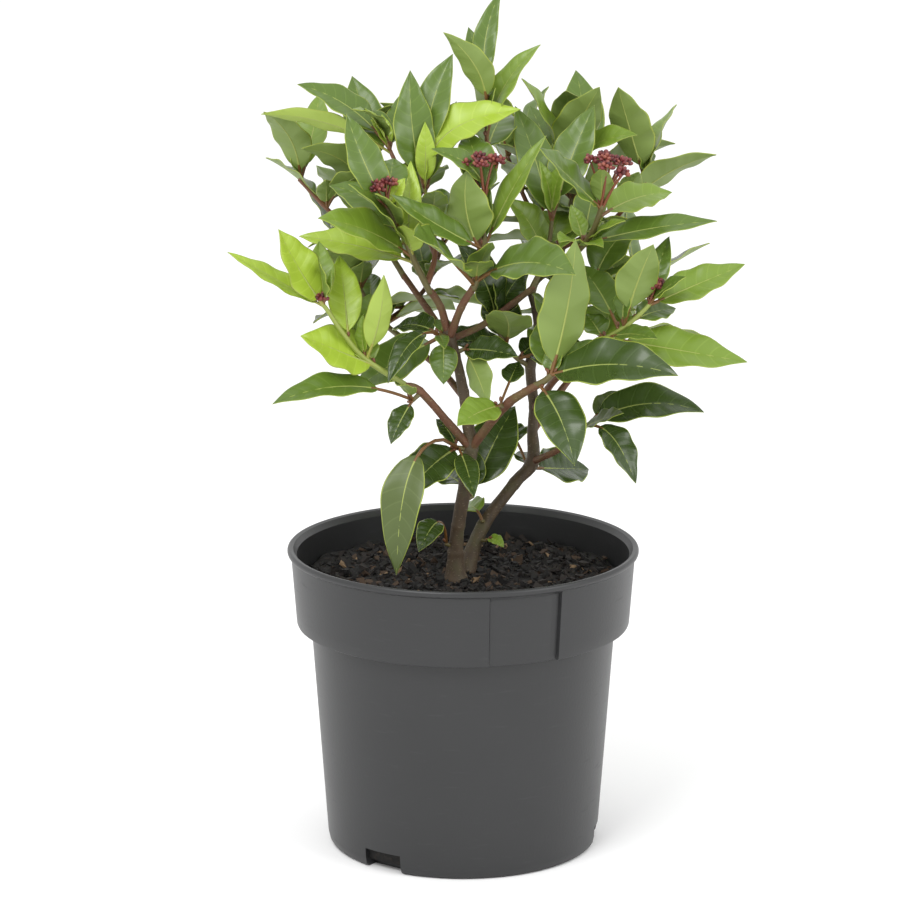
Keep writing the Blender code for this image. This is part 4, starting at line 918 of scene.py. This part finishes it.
def makeMass(name, mass, looks):
    # Along each twig the rows of the rule, each with the leaf of its solid, a bud and perhaps a young leaf
    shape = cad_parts[name].data
    solid = BVHTree.FromPolygons([v.co for v in shape.vertices], [tuple(f.vertices) for f in shape.polygons])
    sun, kinds = mass.get("sun", front), tones.get(name, backTones)
    blades, wood, heads = (Pile(looks[part]) for part in ("leaf", "stem", "bud"))
    grown = 0
    for number, twig in enumerate(mass["twigs"]):
        rooting = smoothPath(twig["path"], 2 if len(twig["path"]) > 2 else 1)  # where its solid roots leaves
        path = smoothPath(twig["path"], 10)
        kind = "greenTwig" if name in greenTwigs else "redTwig" if number else "twig"
        wood.add(*tubeMesh(path, np.linspace(*twig["radii"], len(path)), 12), kind)
        for place, row in enumerate(twig.get("leaves") or ruledLeaves(*twig["rule"])):
            root = pointAlong(rooting, row[0])
            settled = settledRow(root, row, sun, solid)
            if settled is None:
                continue
            _, bearing, rise, length, width = settled[:5]
            tone, seed = kinds[(place + number) % len(kinds)], len(name) * 131 + number * 17 + place
            parts = leafParts(root, settled, sun, tone, seed)
            if place % 2 == number % 2 and length > axilLeaf["from"]:
                turn = axilLeaf["turn"] if place % 4 < 2 else -axilLeaf["turn"]
                size = (length * axilLeaf["length"], width * axilLeaf["width"])
                young = (row[0], bearing + turn, rise + axilLeaf["rise"], *size, *axilLeaf["rest"])
                parts += leafParts(root, young, sun, kinds[-1], place + 400)
            for part in parts:
                blades.add(*part)
            low, high = bud["axilRise"]
            axil = root + heading(bearing, rise + low) * bud["axilOut"]
            wood.add(*budMesh(axil, heading(bearing, rise + high), *bud["axilSize"]), "redTwig")
            grown += 1
        if "buds" in twig:
            growBuds(rooting, twig["buds"], heads, len(name) + number)
    finish(blades.build(name + "Blades"), "young_leaves" if name == "leaves_lime" else "leaves", [name])
    finish(wood.build(name + "Twigs"), "young_bark")
    if heads.count:
        finish(heads.build(name + "Buds"), "leaves")
    return grown


def makePlant():
    looks = {"leaf": plainLooks(leafColours), "stem": plainLooks(stemColours), "bud": plainLooks(budColours)}
    total = sum(makeMass(name, mass, looks) for name, mass in masses.items())
    print("leaves", total)


# The studio, in metres

studio = {
    "world": 1.12, "floor": 8, "floorCentre": (0, 1.5, 0), "floorColour": (0.93, 0.93, 0.93),
    "lens": 153.94, "sensor": 36, "camera": (-0.00523, -1.486, 0.518), "pitch": 13.51,
    "lamps": {"key": ((-0.7, -1.1, 1.5), 0.9, 16.0), "fill": ((1.2, -0.8, 0.9), 0.8, 7.0)},
    "aim": (0, 0, 0.2),
}


def makeFloor():
    bpy.ops.mesh.primitive_plane_add(size=studio["floor"], location=studio["floorCentre"])
    floor = bpy.context.object
    floor.name = "paleFloor"
    look = Look("paleFloor", studio["floorColour"], 0.9)
    look.shader.inputs["Specular IOR Level"].default_value = 0.1
    floor.data.materials.append(look.material)


def makeStudio():
    makeFloor()
    scene = bpy.context.scene
    world = bpy.data.worlds.new("studio")
    world.use_nodes = True
    sky = world.node_tree.nodes["Background"].inputs
    sky["Color"].default_value = (1, 1, 1, 1)
    sky["Strength"].default_value = studio["world"]
    scene.world = world
    for name, (place, size, watts) in studio["lamps"].items():
        data = bpy.data.lights.new(name, "AREA")
        data.size, data.energy = size, watts
        lamp = bpy.data.objects.new(name, data)
        lamp.location = place
        lamp.rotation_euler = (Vector(studio["aim"]) - Vector(place)).to_track_quat("-Z", "Y").to_euler()
        scene.collection.objects.link(lamp)
    camera = bpy.data.cameras.new("camera")
    camera.lens, camera.sensor_width = studio["lens"], studio["sensor"]
    eye = bpy.data.objects.new("camera", camera)
    eye.location = studio["camera"]
    eye.rotation_euler = (math.radians(90 - studio["pitch"]), 0, 0)
    scene.collection.objects.link(eye)
    scene.camera = eye
    scene.view_settings.view_transform = "Standard"
    print("studio")


makeStudio()
makePot()
makeSoil()
makeChips()
makeLimbs()
makePlant()
